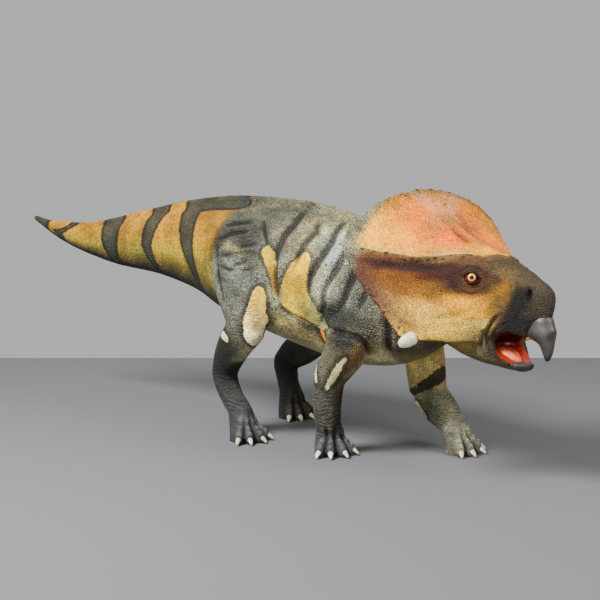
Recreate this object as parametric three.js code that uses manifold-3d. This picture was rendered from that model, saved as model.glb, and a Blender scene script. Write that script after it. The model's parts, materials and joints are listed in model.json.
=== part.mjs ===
// A life-size display statue of a small horned dinosaur, walking on all four feet.
// Millimetres. +X points the way it walks, +Y to its left, +Z up, and the floor is z = 0.
// The skin is one closed solid cut into the parts that a person would name.

import * as THREE from 'three';
import { mergeVertices } from 'three/addons/utils/BufferGeometryUtils.js';
import Module from 'manifold-3d';

const wasm = await Module();
wasm.setup();

// Driving dimensions

const seamGap = 0.3;
const slabSize = 4000;
const footHeight = 62;
const toeSpread = [-48, -20, 14, 48];
const toeReach = 64;
const toeRadius = 20;
const clawLength = 34;
const clawRadius = 11;
const ridgeWidth = 15;
const eyeRadius = 21;
const hornLength = 46;
const hornRadius = 19;

// Where the skull hangs on the neck, and how the head is turned and tipped, in degrees.
const headAt = new THREE.Vector3(450, 0, 560);
const headYaw = -13;
const headRoll = -5;

// Paint: colour and roughness.
const paint = {
  body: ['#6f6f66', 0.72],
  tail: ['#9a8a55', 0.72],
  leg: ['#5c5a55', 0.74],
  face: ['#8f8058', 0.7],
  frill: ['#c99a76', 0.7],
  beak: ['#4c4a4a', 0.42],
  horn: ['#dcd8cc', 0.4],
  eye: ['#e8d9a4', 0.12],
  tongue: ['#d4553f', 0.35],
};

// Shapes

const rad = THREE.MathUtils.degToRad;
const upright = new THREE.Vector3(0, 0, 1);
const sideways = new THREE.Vector3(0, 1, 0);

// One place along a limb: its centre, half its width, and how far it reaches on its
// upper or front side and on its lower or rear side.
function station(x, y, z, wide, over, under = over) {
  return { centre: new THREE.Vector3(x, y, z), size: new THREE.Vector3(wide, over, under) };
}

// A sphere drawn out along the stations, with a rounded end at both. A section is an
// ellipse, or fuller at its corners where fullness, upper then lower, is above 1.
function limb(stations, options = {}) {
  const { sides = 12, rings = 10, roundness = 0.6, across = sideways, fullness = [1, 1] } = options;
  const path = new THREE.CatmullRomCurve3(stations.map((each) => each.centre));
  const sizes = new THREE.CatmullRomCurve3(stations.map((each) => each.size));
  const geometry = bare(new THREE.SphereGeometry(1, sides, rings));
  const points = geometry.getAttribute('position');
  const domeShare = 2 / rings;
  for (let i = 0; i < points.count; i += 1) {
    const place = new THREE.Vector3().fromBufferAttribute(points, i);
    const along = Math.acos(THREE.MathUtils.clamp(place.y, -1, 1)) / Math.PI;
    const angle = Math.atan2(place.z, place.x);
    const toEnd = Math.min(along, 1 - along);
    const t = THREE.MathUtils.clamp((along - domeShare) / (1 - 2 * domeShare), 0, 1);
    const turn = Math.min(toEnd / domeShare, 1) * Math.PI / 2;
    const centre = path.getPoint(t);
    const size = sizes.getPoint(t);
    const tangent = path.getTangent(t);
    const side = across.clone().addScaledVector(tangent, -across.dot(tangent)).normalize();
    const up = new THREE.Vector3().crossVectors(tangent, side);
    const endLength = Math.min(size.x, size.y + size.z) * roundness * Math.cos(turn);
    centre.addScaledVector(tangent, along < 0.5 ? -endLength : endLength);
    const isUpper = Math.sin(angle) > 0;
    const full = isUpper ? fullness[0] : fullness[1];
    const outward = Math.sign(Math.cos(angle)) * Math.abs(Math.cos(angle)) ** (1 / full);
    const rise = Math.sign(Math.sin(angle)) * Math.abs(Math.sin(angle)) ** (1 / full);
    centre.addScaledVector(side, size.x * outward * Math.sin(turn));
    centre.addScaledVector(up, (isUpper ? size.y : size.z) * rise * Math.sin(turn));
    points.setXYZ(i, centre.x, centre.y, centre.z);
  }
  return geometry;
}

function ball(x, y, z, rx, ry = rx, rz = rx, sides = 12, rings = 8) {
  const geometry = bare(new THREE.SphereGeometry(1, sides, rings));
  return geometry.scale(rx, ry, rz).translate(x, y, z);
}

// A geometry of positions alone, its shared corners merged.
function bare(geometry) {
  geometry.deleteAttribute('normal');
  geometry.deleteAttribute('uv');
  return mergeVertices(geometry, 1e-4);
}

// The same shape, larger all over by the seam gap, to cut its neighbour with.
function fattened(geometry) {
  const grown = geometry.clone();
  grown.computeVertexNormals();
  const points = grown.getAttribute('position');
  const normals = grown.getAttribute('normal');
  for (let i = 0; i < points.count; i += 1) {
    const place = new THREE.Vector3().fromBufferAttribute(points, i);
    place.addScaledVector(new THREE.Vector3().fromBufferAttribute(normals, i), seamGap * 1.15);
    points.setXYZ(i, place.x, place.y, place.z);
  }
  grown.deleteAttribute('normal');
  return grown;
}

function mirrored(geometry) {
  const twin = geometry.clone().scale(1, -1, 1);
  const index = twin.index.array;
  for (let i = 0; i < index.length; i += 3) {
    [index[i], index[i + 1]] = [index[i + 1], index[i]];
  }
  return twin;
}

// Solids

function solid(geometry) {
  const vertProperties = new Float32Array(geometry.getAttribute('position').array);
  const triVerts = new Uint32Array(geometry.index.array);
  return new wasm.Manifold(new wasm.Mesh({ numProp: 3, vertProperties, triVerts }));
}

function joined(geometries) {
  return geometries.map(solid).reduce((sum, each) => sum.add(each));
}

function cutter(geometries) {
  return joined(geometries.map(fattened));
}

// A cut leaves slivers; the node keeps its largest closed surface.
function largest(body) {
  return body.decompose().sort((a, b) => b.volume() - a.volume())[0];
}

// The half of a solid on the far side of a flat cut.
function beyond(body, x, y, z, direction) {
  const turn = new THREE.Quaternion().setFromUnitVectors(upright, direction.clone().normalize());
  const block = bare(new THREE.BoxGeometry(slabSize, slabSize, slabSize));
  block.translate(0, 0, (slabSize + seamGap) / 2).applyQuaternion(turn).translate(x, y, z);
  return body.intersect(solid(block));
}

const floorBlock = bare(new THREE.BoxGeometry(slabSize, slabSize, slabSize));
const underFloor = solid(floorBlock.translate(0, 0, -slabSize / 2));

function asMesh(name, body, [colour, roughness], origin = new THREE.Vector3()) {
  const { vertProperties, triVerts } = body.getMesh();
  const geometry = new THREE.BufferGeometry();
  geometry.setAttribute('position', new THREE.BufferAttribute(vertProperties, 3));
  geometry.setIndex(new THREE.BufferAttribute(triVerts, 1));
  geometry.translate(-origin.x, -origin.y, -origin.z);
  geometry.computeVertexNormals();
  const material = new THREE.MeshStandardMaterial({ color: colour, roughness, metalness: 0 });
  const mesh = new THREE.Mesh(geometry, material);
  mesh.name = name;
  mesh.position.copy(origin);
  return mesh;
}

// Body: one long form from the tip of the tail to the inside of the skull.
// x, y, top, bottom, half width
const trunk = [
  [-1214, -170, 663, 649, 8],
  [-1100, -130, 634, 575, 24],
  [-900, -70, 648, 503, 48],
  [-700, -25, 687, 475, 73],
  [-500, 0, 720, 425, 106],
  [-340, 0, 730, 366, 150],
  [-180, 0, 733, 326, 180],
  [0, 0, 718, 288, 192],
  [150, 0, 690, 262, 184],
  [280, 0, 660, 272, 158],
  [400, 0, 640, 335, 130],
  [480, 0, 625, 400, 105],
];
const widestAt = 0.46;
const neckSeam = 318;
const trunkMiddleHeight = 560;

// The keel along the back: x, y, top of the back, height above it
const keel = [
  [-1150, -148, 644, 5],
  [-1000, -100, 633, 13],
  [-800, -45, 668, 23],
  [-600, -10, 705, 32],
  [-400, 0, 727, 35],
  [-200, 0, 734, 29],
  [0, 0, 718, 30],
  [200, 0, 678, 22],
  [330, 0, 650, 10],
];

function trunkForm() {
  const stations = trunk.map(([x, y, top, bottom, wide]) => {
    const height = top - bottom;
    return station(x, y, bottom + height * widestAt, wide, height * (1 - widestAt), height * widestAt);
  });
  return limb(stations, { sides: 24, rings: 40 });
}

function keelForm() {
  const stations = keel.map(([x, y, back, height]) => station(x, y, back - 8, ridgeWidth, height + 8, 24));
  return limb(stations, { sides: 6, rings: 30 });
}

// Legs. Each hangs from its joints, and the upper part grows out of the trunk.
function foot({ at: [x, y], heading, heel, lower }) {
  const [ax, ay, az, wide, over, under] = lower.at(-1);
  const pieces = [limb([
    station(ax, ay, az, wide, over, under),
    station((ax + x) / 2, (ay + y) / 2, (az + footHeight) / 2 + 8, wide + 3, over + 1, under + 1),
    station(x, y, footHeight / 2, 48, 46, heel),
    station(x, y, -6, 50, 50, heel),
  ], { sides: 12, rings: 9, roundness: 0.2 })];
  for (const spread of toeSpread) {
    const direction = rad(heading + spread);
    const ahead = new THREE.Vector3(Math.cos(direction), Math.sin(direction), 0);
    const across = new THREE.Vector3(-ahead.y, ahead.x, 0);
    const out = (reach, height) => [x + ahead.x * reach, y + ahead.y * reach, height];
    const toe = [
      station(...out(12, 46), toeRadius, toeRadius),
      station(...out(42, 33), toeRadius, toeRadius - 1),
      station(...out(toeReach, 17), toeRadius - 3, toeRadius - 4),
    ];
    const claw = [
      station(...out(toeReach - 6, 21), clawRadius, clawRadius),
      station(...out(toeReach + clawLength * 0.4, 15), clawRadius * 0.85, clawRadius * 0.9),
      station(...out(toeReach + clawLength * 0.85, 5), 3, 3),
    ];
    pieces.push(limb(toe, { sides: 7, rings: 6, across, roundness: 0.7 }));
    pieces.push(limb(claw, { sides: 6, rings: 5, across, roundness: 0.5 }));
  }
  return pieces;
}

// The joints of each leg: x, y, z, then half width, front reach and rear reach.
const legs = {
  right_fore: {
    heading: -29,
    heel: 47,
    at: [134, -130],
    upper: [[238, -112, 430, 62, 92, 92], [205, -145, 330, 56, 72, 66], [158, -160, 246, 48, 50, 50]],
    lower: [[156, -160, 248, 46, 48, 50], [139, -152, 165, 43, 46, 44], [137, -145, 84, 37, 40, 38]],
    names: ['right_upper_arm', 'right_forearm', 'right_fore_foot'],
  },
  left_fore: {
    heading: 3,
    heel: 32,
    at: [416, 132],
    upper: [[262, 112, 420, 62, 92, 92], [285, 145, 290, 56, 64, 74], [300, 150, 172, 48, 56, 68]],
    lower: [[300, 150, 170, 48, 56, 66], [350, 149, 127, 44, 48, 66], [398, 145, 84, 38, 38, 42]],
    names: ['left_upper_arm', 'left_forearm', 'left_fore_foot'],
  },
  right_hind: {
    heading: -13,
    heel: 46,
    at: [-180, -176],
    upper: [[-280, -95, 590, 60, 84, 84], [-236, -128, 510, 66, 116, 112], [-182, -165, 445, 62, 110, 100],
      [-140, -188, 372, 55, 72, 76]],
    lower: [[-146, -186, 372, 50, 66, 60], [-212, -182, 300, 46, 56, 66], [-268, -172, 205, 38, 42, 44],
      [-258, -172, 168, 36, 39, 40], [-228, -172, 118, 34, 36, 37]],
    names: ['right_thigh', 'right_shank', 'right_hind_foot'],
  },
  left_hind: {
    heading: -8,
    heel: 46,
    at: [-285, 172],
    upper: [[-275, 95, 575, 60, 84, 84], [-230, 128, 490, 66, 112, 112], [-175, 160, 405, 62, 98, 96],
      [-130, 178, 325, 54, 64, 70]],
    lower: [[-135, 176, 322, 50, 62, 58], [-220, 174, 258, 44, 62, 62], [-312, 172, 188, 38, 44, 48],
      [-308, 172, 150, 36, 38, 40], [-302, 172, 112, 34, 36, 37]],
    names: ['left_thigh', 'left_shank', 'left_hind_foot'],
  },
};

// Head, in its own frame: +X to the beak, the neck joint at the origin.
const skull = [
  [-40, -30, 110, 90, 90],
  [60, -42, 120, 108, 118],
  [150, -52, 118, 122, 124],
  [225, -50, 98, 124, 128],
  [301, -50, 66, 106, 130],
  [355, -46, 50, 82, 98],
  [394, -44, 38, 56, 88],
  [414, -52, 29, 43, 42],
];

const noseAt = [400, 0, -54];
const noseSize = [37, 27, 44];

const beak = [
  [378, -124, 29, 14, 18],
  [409, -120, 31, 47, 37],
  [426, -144, 24, 21, 18],
  [433, -170, 13, 14, 15],
  [433, -192, 4, 5, 5],
];

const jaw = [
  [110, -160, 96, 34, 36],
  [200, -178, 88, 36, 48],
  [262, -186, 76, 40, 43],
  [306, -192, 65, 46, 42],
  [340, -210, 45, 32, 27],
  [364, -214, 25, 14, 15],
  [374, -213, 12, 7, 8],
];
const jawTipFrom = 338;

// The open mouth seen from the side: x, z of the upper lip from its corner, then the
// lower lip back to it.
const mouthCorner = [283, -152];
const upperLip = [[306, -135], [334, -131], [362, -136], [390, -141]];
const lowerLip = [[380, -209], [352, -213], [321, -204], [294, -180]];
const mouthAhead = 180;
const mouthCutWidth = 300;

// The frill and cheeks: a shell between a line inside the face and its own rim, from
// the cheek horn up over the crest. Right half, bottom to top: x, y, z, and how far
// the middle of the span sinks below a straight line.
const faceLine = [
  [285, -50, -166, 2],
  [318, -48, -120, -4],
  [322, -44, -60, -2],
  [310, -40, 8, -4],
  [252, -50, 50, 24],
  [238, -26, 64, 44],
  [234, 0, 69, 28],
];
const rimLine = [
  [140, -250, -178],
  [66, -282, -100],
  [-24, -307, -12],
  [-76, -322, 76],
  [-78, -252, 168],
  [-66, -130, 226],
  [-84, 0, 246],
];
const frillThick = 24;
const frillRoot = 36;
const frillCentre = new THREE.Vector3(-170, 0, -90);
const frillSeamAt = [125, 0, -15];
const frillSeamFacing = new THREE.Vector3(0.826, 0, -0.565);

function wholeLine(half) {
  const other = half.slice(0, -1).reverse().map(([x, y, z]) => [x, -y, z]);
  return new THREE.CatmullRomCurve3([...half, ...other].map(([x, y, z]) => new THREE.Vector3(x, y, z)));
}

function frillForm() {
  const inner = wholeLine(faceLine);
  const rim = wholeLine(rimLine);
  const sinks = faceLine.map((row) => row[3]);
  const sinkLine = new THREE.CatmullRomCurve3(
    [...sinks, ...sinks.slice(0, -1).reverse()].map((sink, i) => new THREE.Vector3(i * 100, sink, 0)),
  );
  const geometry = bare(new THREE.BoxGeometry(1, 1, 1, 36, 7, 1));
  const points = geometry.getAttribute('position');
  for (let i = 0; i < points.count; i += 1) {
    const around = 0.5 + points.getX(i);
    const outward = points.getY(i) + 0.5;
    const onBack = points.getZ(i) < 0;
    const place = inner.getPoint(around).lerp(rim.getPoint(around), outward);
    const toCentre = frillCentre.clone().sub(place);
    const reach = toCentre.length();
    const sink = sinkLine.getPoint(around).y * 4 * outward * (1 - outward);
    const thick = THREE.MathUtils.lerp(frillRoot, frillThick, outward) * (onBack ? 1 : 0);
    place.addScaledVector(toCentre, (sink + thick) / reach);
    points.setXYZ(i, place.x, place.y, place.z);
  }
  return geometry;
}

function skullRow([x, z, wide, over, under]) {
  return station(x, 0, z, wide, over, under);
}

// Half a head's lids and brow, made on the right side and mirrored. The left cheek sits
// higher than the right one, and so does its horn.
const eyeAt = [222, -99, 8];
const hornRoots = { right: [146, -240, -172], left: [124, 246, -142] };
const gaze = new THREE.Vector3(0.56, -0.82, 0.08).normalize();

function lid() {
  const ring = bare(new THREE.TorusGeometry(eyeRadius - 1, 7, 6, 14));
  ring.applyQuaternion(new THREE.Quaternion().setFromUnitVectors(upright, gaze));
  return ring.translate(eyeAt[0] + gaze.x * 7, eyeAt[1] + gaze.y * 7, eyeAt[2] + gaze.z * 7);
}

function brow() {
  return limb([
    station(274, -52, 20, 17, 12),
    station(228, -82, 33, 22, 15),
    station(160, -122, 30, 18, 12),
  ], { sides: 8, rings: 8 });
}

function cheekHorn(side) {
  const outward = side === 'right' ? -0.9 : 0.9;
  const way = new THREE.Vector3(-0.1, outward, -0.42).normalize();
  const root = hornRoots[side];
  const out = (share) => root.map((value, i) => value + way.getComponent(i) * hornLength * share);
  return limb([
    station(...out(-0.3), hornRadius, hornRadius),
    station(...out(0.25), hornRadius * 0.95, hornRadius * 0.95),
    station(...out(0.75), hornRadius * 0.62, hornRadius * 0.62),
  ], { sides: 12, rings: 9, across: new THREE.Vector3(1, 0, 0), roundness: 0.6 });
}

function nostril() {
  return ball(394, -44, -26, 9, 12, 15, 10, 6);
}

function mouthForm() {
  const ahead = mouthCorner[0] + mouthAhead;
  const outline = new THREE.Shape();
  outline.moveTo(...mouthCorner);
  outline.splineThru(upperLip.map(([x, z]) => new THREE.Vector2(x, z)));
  outline.lineTo(ahead, upperLip.at(-1)[1]);
  outline.lineTo(ahead, lowerLip[0][1]);
  outline.lineTo(...lowerLip[0]);
  outline.splineThru([...lowerLip.slice(1), mouthCorner].map(([x, z]) => new THREE.Vector2(x, z)));
  const extrusion = { depth: mouthCutWidth, bevelEnabled: false, curveSegments: 4 };
  const cut = bare(new THREE.ExtrudeGeometry(outline, extrusion));
  return cut.rotateX(Math.PI / 2).translate(0, mouthCutWidth / 2, 0);
}

function throatForms() {
  return [ball(296, 0, -168, 62, 50, 36, 12, 8), ball(340, 0, -196, 32, 28, 16, 10, 6)];
}

const tongue = [
  [250, -186, 26, 12, 12],
  [288, -190, 30, 13, 16],
  [316, -200, 22, 10, 12],
  [332, -208, 11, 6, 6],
];

function buildHead() {
  const skullPieces = [
    limb(skull.map(skullRow), { sides: 18, rings: 18, roundness: 0.45, fullness: [1.1, 1.5] }),
    ball(...noseAt, ...noseSize, 14, 10),
    frillForm(),
  ];
  for (const piece of [lid(), brow()]) {
    skullPieces.push(piece, mirrored(piece));
  }
  const hornPieces = [cheekHorn('right'), cheekHorn('left')];
  const eyePieces = [ball(...eyeAt, eyeRadius), mirrored(ball(...eyeAt, eyeRadius))];
  const beakPieces = [limb(beak.map(skullRow), { sides: 14, rings: 12, roundness: 0.4 })];
  const tonguePieces = [limb(tongue.map(skullRow), { sides: 10, rings: 8 })];
  const jawShape = { sides: 16, rings: 12, roundness: 0.4, fullness: [1.6, 1.1] };
  const jawPieces = [limb(jaw.map(skullRow), jawShape)];

  const mouth = joined([mouthForm(), ...throatForms()]);
  const nostrils = joined([nostril(), mirrored(nostril())]);
  const skullRoom = cutter(skullPieces);
  const beakRoom = cutter(beakPieces);
  const skullWhole = joined(skullPieces)
    .subtract(cutter(eyePieces))
    .subtract(cutter(hornPieces))
    .subtract(beakRoom)
    .subtract(nostrils)
    .subtract(mouth)
    .subtract(cutter(tonguePieces));
  const jawWhole = joined(jawPieces)
    .subtract(skullRoom)
    .subtract(beakRoom)
    .subtract(mouth)
    .subtract(cutter(tonguePieces));
  const jawBody = largest(jawWhole);
  const forward = new THREE.Vector3(1, 0, 0);
  const jawMain = largest(beyond(jawBody, jawTipFrom, 0, 0, forward.clone().negate()));

  return {
    head: largest(beyond(skullWhole, ...frillSeamAt, frillSeamFacing)),
    frill: largest(beyond(skullWhole, ...frillSeamAt, frillSeamFacing.clone().negate())),
    upperBeak: largest(joined(beakPieces)),
    lowerJaw: jawMain,
    lowerBeak: largest(beyond(jawBody, jawTipFrom, 0, 0, forward)),
    tongue: joined(tonguePieces),
    eyes: eyePieces.map(solid),
    horns: hornPieces.map(solid),
    room: cutter([...skullPieces, ...jawPieces]),
  };
}

// Putting it together

const statue = new THREE.Group();
const headGroup = new THREE.Group();
headGroup.position.copy(headAt);
headGroup.rotation.set(rad(headRoll), 0, rad(headYaw), 'ZYX');
headGroup.updateMatrix();

const head = buildHead();
headGroup.add(asMesh('head', head.head, paint.face));
headGroup.add(asMesh('frill', head.frill, paint.frill));
headGroup.add(asMesh('upper_beak', head.upperBeak, paint.beak, new THREE.Vector3(400, 0, -110)));
headGroup.add(asMesh('lower_jaw', head.lowerJaw, paint.face, new THREE.Vector3(200, 0, -180)));
headGroup.add(asMesh('lower_beak', head.lowerBeak, paint.beak, new THREE.Vector3(360, 0, -212)));
headGroup.add(asMesh('tongue', head.tongue, paint.tongue, new THREE.Vector3(300, 0, -180)));
for (const [i, side] of ['right', 'left'].entries()) {
  const eyeMiddle = new THREE.Vector3(...eyeAt);
  const hornRoot = new THREE.Vector3(...hornRoots[side]);
  if (side === 'left') {
    eyeMiddle.y *= -1;
  }
  headGroup.add(asMesh(`${side}_eye`, head.eyes[i], paint.eye, eyeMiddle));
  headGroup.add(asMesh(`${side}_cheek_horn`, head.horns[i], paint.horn, hornRoot));
}
statue.add(headGroup);

const headRoom = head.room.transform(headGroup.matrix.elements);
const trunkPieces = [trunkForm(), keelForm()];
const trunkRoom = cutter(trunkPieces);
let trunkLeft = largest(joined(trunkPieces).subtract(headRoom));
const trunkSeams = [
  ['tail_tip', -950, new THREE.Vector3(0.96, 0.28, 0)],
  ['tail_middle', -700, new THREE.Vector3(0.98, 0.18, 0.05)],
  ['tail_base', -450, new THREE.Vector3(1, 0.02, 0)],
  ['torso', neckSeam, new THREE.Vector3(1, 0, 0)],
];
for (const [name, x, direction] of trunkSeams) {
  const centreY = trunk.find((row) => row[0] >= x)[1];
  const seam = new THREE.Vector3(x, centreY, trunkMiddleHeight);
  const part = largest(beyond(trunkLeft, ...seam.toArray(), direction.clone().negate()));
  trunkLeft = largest(beyond(trunkLeft, ...seam.toArray(), direction));
  statue.add(asMesh(name, part, name === 'torso' ? paint.body : paint.tail, seam));
}
statue.add(asMesh('neck', trunkLeft, paint.body, new THREE.Vector3(neckSeam, 0, trunkMiddleHeight)));

const upperShape = { sides: 14, rings: 12, roundness: 0.5 };
const lowerShape = { sides: 12, rings: 14, roundness: 0.5 };
for (const leg of Object.values(legs)) {
  const upperPieces = [limb(leg.upper.map((row) => station(...row)), upperShape)];
  const lowerPieces = [limb(leg.lower.map((row) => station(...row)), lowerShape)];
  const footPieces = foot(leg);
  const lowerRoom = cutter(lowerPieces);
  const [upperName, lowerName, footName] = leg.names;
  const ankle = new THREE.Vector3(...leg.lower.at(-1).slice(0, 3));
  const upper = largest(joined(upperPieces).subtract(trunkRoom).subtract(lowerRoom));
  const wholeLower = joined([...lowerPieces, ...footPieces]).subtract(trunkRoom).subtract(underFloor);
  const down = new THREE.Vector3(leg.at[0] - ankle.x, leg.at[1] - ankle.y, -ankle.z);
  const lower = largest(beyond(wholeLower, ...ankle.toArray(), down.clone().negate()));
  const footBody = largest(beyond(wholeLower, ...ankle.toArray(), down));
  statue.add(asMesh(upperName, upper, paint.leg, new THREE.Vector3(...leg.upper[0].slice(0, 3))));
  statue.add(asMesh(lowerName, lower, paint.leg, new THREE.Vector3(...leg.lower[0].slice(0, 3))));
  statue.add(asMesh(footName, footBody, paint.leg, new THREE.Vector3(leg.at[0], leg.at[1], 0)));
}

// The origin is the middle of the statue's box, at floor level.
const box = new THREE.Box3().setFromObject(statue, true);
const middle = box.getCenter(new THREE.Vector3());
statue.position.set(-middle.x, -middle.y, 0);
statue.userData.origin = [middle.x, middle.y, 0];

const model = new THREE.Group();
model.add(statue);
model.userData.origin = statue.userData.origin;

export default model;
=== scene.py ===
import json
import math

import bpy
import numpy as np
from mathutils import Matrix, Vector

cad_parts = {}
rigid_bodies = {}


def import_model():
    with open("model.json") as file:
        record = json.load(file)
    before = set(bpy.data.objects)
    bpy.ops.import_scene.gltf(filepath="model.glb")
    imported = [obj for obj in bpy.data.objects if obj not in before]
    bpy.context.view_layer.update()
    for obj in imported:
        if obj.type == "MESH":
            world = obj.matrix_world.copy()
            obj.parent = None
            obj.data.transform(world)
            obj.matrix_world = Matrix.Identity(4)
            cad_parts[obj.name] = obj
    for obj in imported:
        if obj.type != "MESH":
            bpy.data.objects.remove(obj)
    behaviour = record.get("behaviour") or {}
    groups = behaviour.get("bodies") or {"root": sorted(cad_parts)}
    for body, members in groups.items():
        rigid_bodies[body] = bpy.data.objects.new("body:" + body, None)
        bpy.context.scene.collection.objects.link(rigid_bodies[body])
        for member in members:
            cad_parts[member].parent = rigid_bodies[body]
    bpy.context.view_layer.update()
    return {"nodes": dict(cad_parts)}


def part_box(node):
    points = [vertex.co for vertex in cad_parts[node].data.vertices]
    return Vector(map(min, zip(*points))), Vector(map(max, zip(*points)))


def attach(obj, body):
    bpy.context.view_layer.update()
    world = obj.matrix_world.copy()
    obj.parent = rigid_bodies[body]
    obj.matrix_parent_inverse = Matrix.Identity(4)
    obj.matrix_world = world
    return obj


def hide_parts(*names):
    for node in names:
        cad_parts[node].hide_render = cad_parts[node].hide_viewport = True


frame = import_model()
print("frame loaded")

# Where things lie. Body places are millimetres from a point on the floor under the hips, with x ahead
# and z up. Head places are millimetres from the joint of the neck, in the skull's own turned frame.
layout = {
    "neckSeam": 317.85,            # where the torso ends, ahead of the hips
    "headJoint": (450, 0, 560),
    "headYaw": -13,
    "headRoll": -5,
    "tailMiddle": [(-1214, -170), (-1100, -130), (-900, -70), (-700, -25), (-500, 0)],   # x, y
    "tailEnd": (-1200, -170, 656),
}
torsoLow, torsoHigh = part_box("torso")
hips = np.array([torsoHigh.x - layout["neckSeam"] / 1000, (torsoLow.y + torsoHigh.y) / 2, 0])
headJoint = np.array(layout["headJoint"], float)
yawTurn = Matrix.Rotation(math.radians(layout["headYaw"]), 3, "Z")
headTurn = np.array(yawTurn @ Matrix.Rotation(math.radians(layout["headRoll"]), 3, "X"))


def toBody(places):
    return (places - hips) * 1000


def fromBody(places):
    return np.asarray(places, float) / 1000 + hips


def toHead(places):
    return (toBody(places) - headJoint) @ headTurn


def fromHead(places):
    return fromBody(places @ headTurn.T + headJoint)


# Small sums

def soft(value, low, high):                 # an easy rise from 0 to 1
    share = np.clip((value - low) / (high - low), 0, 1)
    return share * share * (3 - 2 * share)


def bump(value, middle, width):             # 1 at the middle, falling off on both sides
    return np.exp(-(((value - middle) / width) ** 2))


def mix(first, second, share):
    return first * (1 - share) + second * share


def unit(direction, side=1):                # a direction of length 1, on the left side or the right one
    way = np.array(direction, float) * (1, side, 1)
    return way / np.linalg.norm(way)


def awayFrom(points, centre):
    return np.linalg.norm(points - np.array(centre), axis=1)


def lineDistance(points, line):             # distance to a line of points, and the share along it
    corners = np.array(line, float)
    lengths = np.linalg.norm(np.diff(corners, axis=0), axis=1)
    starts = np.concatenate([[0], np.cumsum(lengths)])
    best = np.full(len(points), 1e9)
    share = np.zeros(len(points))
    for first, second, length, start in zip(corners[:-1], corners[1:], lengths, starts):
        way = (second - first) / max(length, 1e-9)
        along = np.clip((points - first) @ way, 0, length)
        away = np.linalg.norm(points - first - along[:, None] * way, axis=1)
        closer = away < best
        best[closer] = away[closer]
        share[closer] = (start + along[closer]) / max(starts[-1], 1e-9)
    return best, share


def nearLine(points, line, reach):          # the rows of points that a line can reach
    corners = np.array(line, float)
    low = corners.min(0) - reach
    high = corners.max(0) + reach
    return np.nonzero(((points > low) & (points < high)).all(1))[0]


def paintColour(red, green, blue):          # 0 to 255, as read off a paint card
    parts = np.array([red, green, blue]) / 255
    return np.where(parts <= 0.04045, parts / 12.92, ((parts + 0.055) / 1.055) ** 2.4)


# Meshes

def pickOnly(piece):
    if bpy.context.object and bpy.context.object.mode != "OBJECT":
        bpy.ops.object.mode_set(mode="OBJECT")
    bpy.ops.object.select_all(action="DESELECT")
    piece.select_set(True)
    bpy.context.view_layer.objects.active = piece


def joinAll(pieces):                        # into the first one
    pickOnly(pieces[0])
    for piece in pieces:
        piece.select_set(True)
    if len(pieces) > 1:
        bpy.ops.object.join()
    return bpy.context.object


def finishWith(piece, kind, **settings):    # adds a modifier and applies it
    pickOnly(piece)
    modifier = piece.modifiers.new(kind.title(), kind)
    for name, value in settings.items():
        setattr(modifier, name, value)
    bpy.ops.object.modifier_apply(modifier=modifier.name)


def copyMesh(name, mesh):
    copy = bpy.data.objects.new(name, mesh.copy())
    bpy.context.scene.collection.objects.link(copy)
    return copy


def copyNodes(name, nodes):                 # one new mesh from copies of CAD nodes, corners merged
    copies = [copyMesh(name, frame["nodes"][node].data) for node in nodes]
    for copy in copies:
        copy.data.materials.clear()
    piece = joinAll(copies)
    bpy.ops.object.mode_set(mode="EDIT")
    bpy.ops.mesh.select_all(action="SELECT")
    bpy.ops.mesh.remove_doubles(threshold=0.00002)
    bpy.ops.object.mode_set(mode="OBJECT")
    piece.name = name
    return piece


def readRows(piece, what):
    flat = np.empty(len(piece.data.vertices) * 3, np.float32)
    piece.data.vertices.foreach_get(what, flat)
    return flat.reshape(-1, 3).astype(float)


def getPlaces(piece):
    return readRows(piece, "co")


def getNormals(piece):
    return readRows(piece, "normal")


def setPlaces(piece, places):
    piece.data.vertices.foreach_set("co", places.astype(np.float32).ravel())
    piece.data.update()


def swell(piece, amount):                   # moves every place outwards
    setPlaces(piece, getPlaces(piece) + getNormals(piece) * amount)


def keepIsland(piece, seed):                # drops whatever isn't joined to the vertex nearest seed
    nearest = int(np.argmin(awayFrom(getPlaces(piece), seed)))
    pickOnly(piece)
    bpy.ops.object.mode_set(mode="EDIT")
    bpy.ops.mesh.select_all(action="DESELECT")
    bpy.ops.object.mode_set(mode="OBJECT")
    piece.data.vertices[nearest].select = True
    bpy.ops.object.mode_set(mode="EDIT")
    bpy.ops.mesh.select_mode(type="VERT")
    bpy.ops.mesh.select_linked()
    bpy.ops.mesh.select_all(action="INVERT")
    bpy.ops.mesh.delete(type="VERT")
    bpy.ops.object.mode_set(mode="OBJECT")


def refineWhere(piece, wanted):             # halves the faces whose corners are all wanted
    pickOnly(piece)
    bpy.ops.object.mode_set(mode="EDIT")
    bpy.ops.mesh.select_mode(type="FACE")
    bpy.ops.mesh.select_all(action="DESELECT")
    bpy.ops.object.mode_set(mode="OBJECT")
    for face in piece.data.polygons:
        face.select = bool(all(wanted[corner] for corner in face.vertices))
    bpy.ops.object.mode_set(mode="EDIT")
    bpy.ops.mesh.subdivide(number_cuts=1)
    bpy.ops.object.mode_set(mode="OBJECT")


def relax(piece, weights, rounds):          # smooths, more where the weight is higher
    group = piece.vertex_groups.new(name="relax")
    steps = np.round(np.clip(weights, 0, 1) * 20).astype(int)
    for step in range(1, 21):
        chosen = np.nonzero(steps == step)[0].tolist()
        if chosen:
            group.add(chosen, step / 20, "REPLACE")
    finishWith(piece, "SMOOTH", factor=0.5, iterations=rounds, vertex_group="relax")
    piece.vertex_groups.clear()


def addBall(piece, centre, size):           # joins a ball, placed from the head, to a piece
    bpy.ops.mesh.primitive_uv_sphere_add(segments=40, ring_count=28, radius=1)
    ball = bpy.context.object
    setPlaces(ball, fromHead(getPlaces(ball) * size + centre))
    joinAll([piece, ball])


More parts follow.
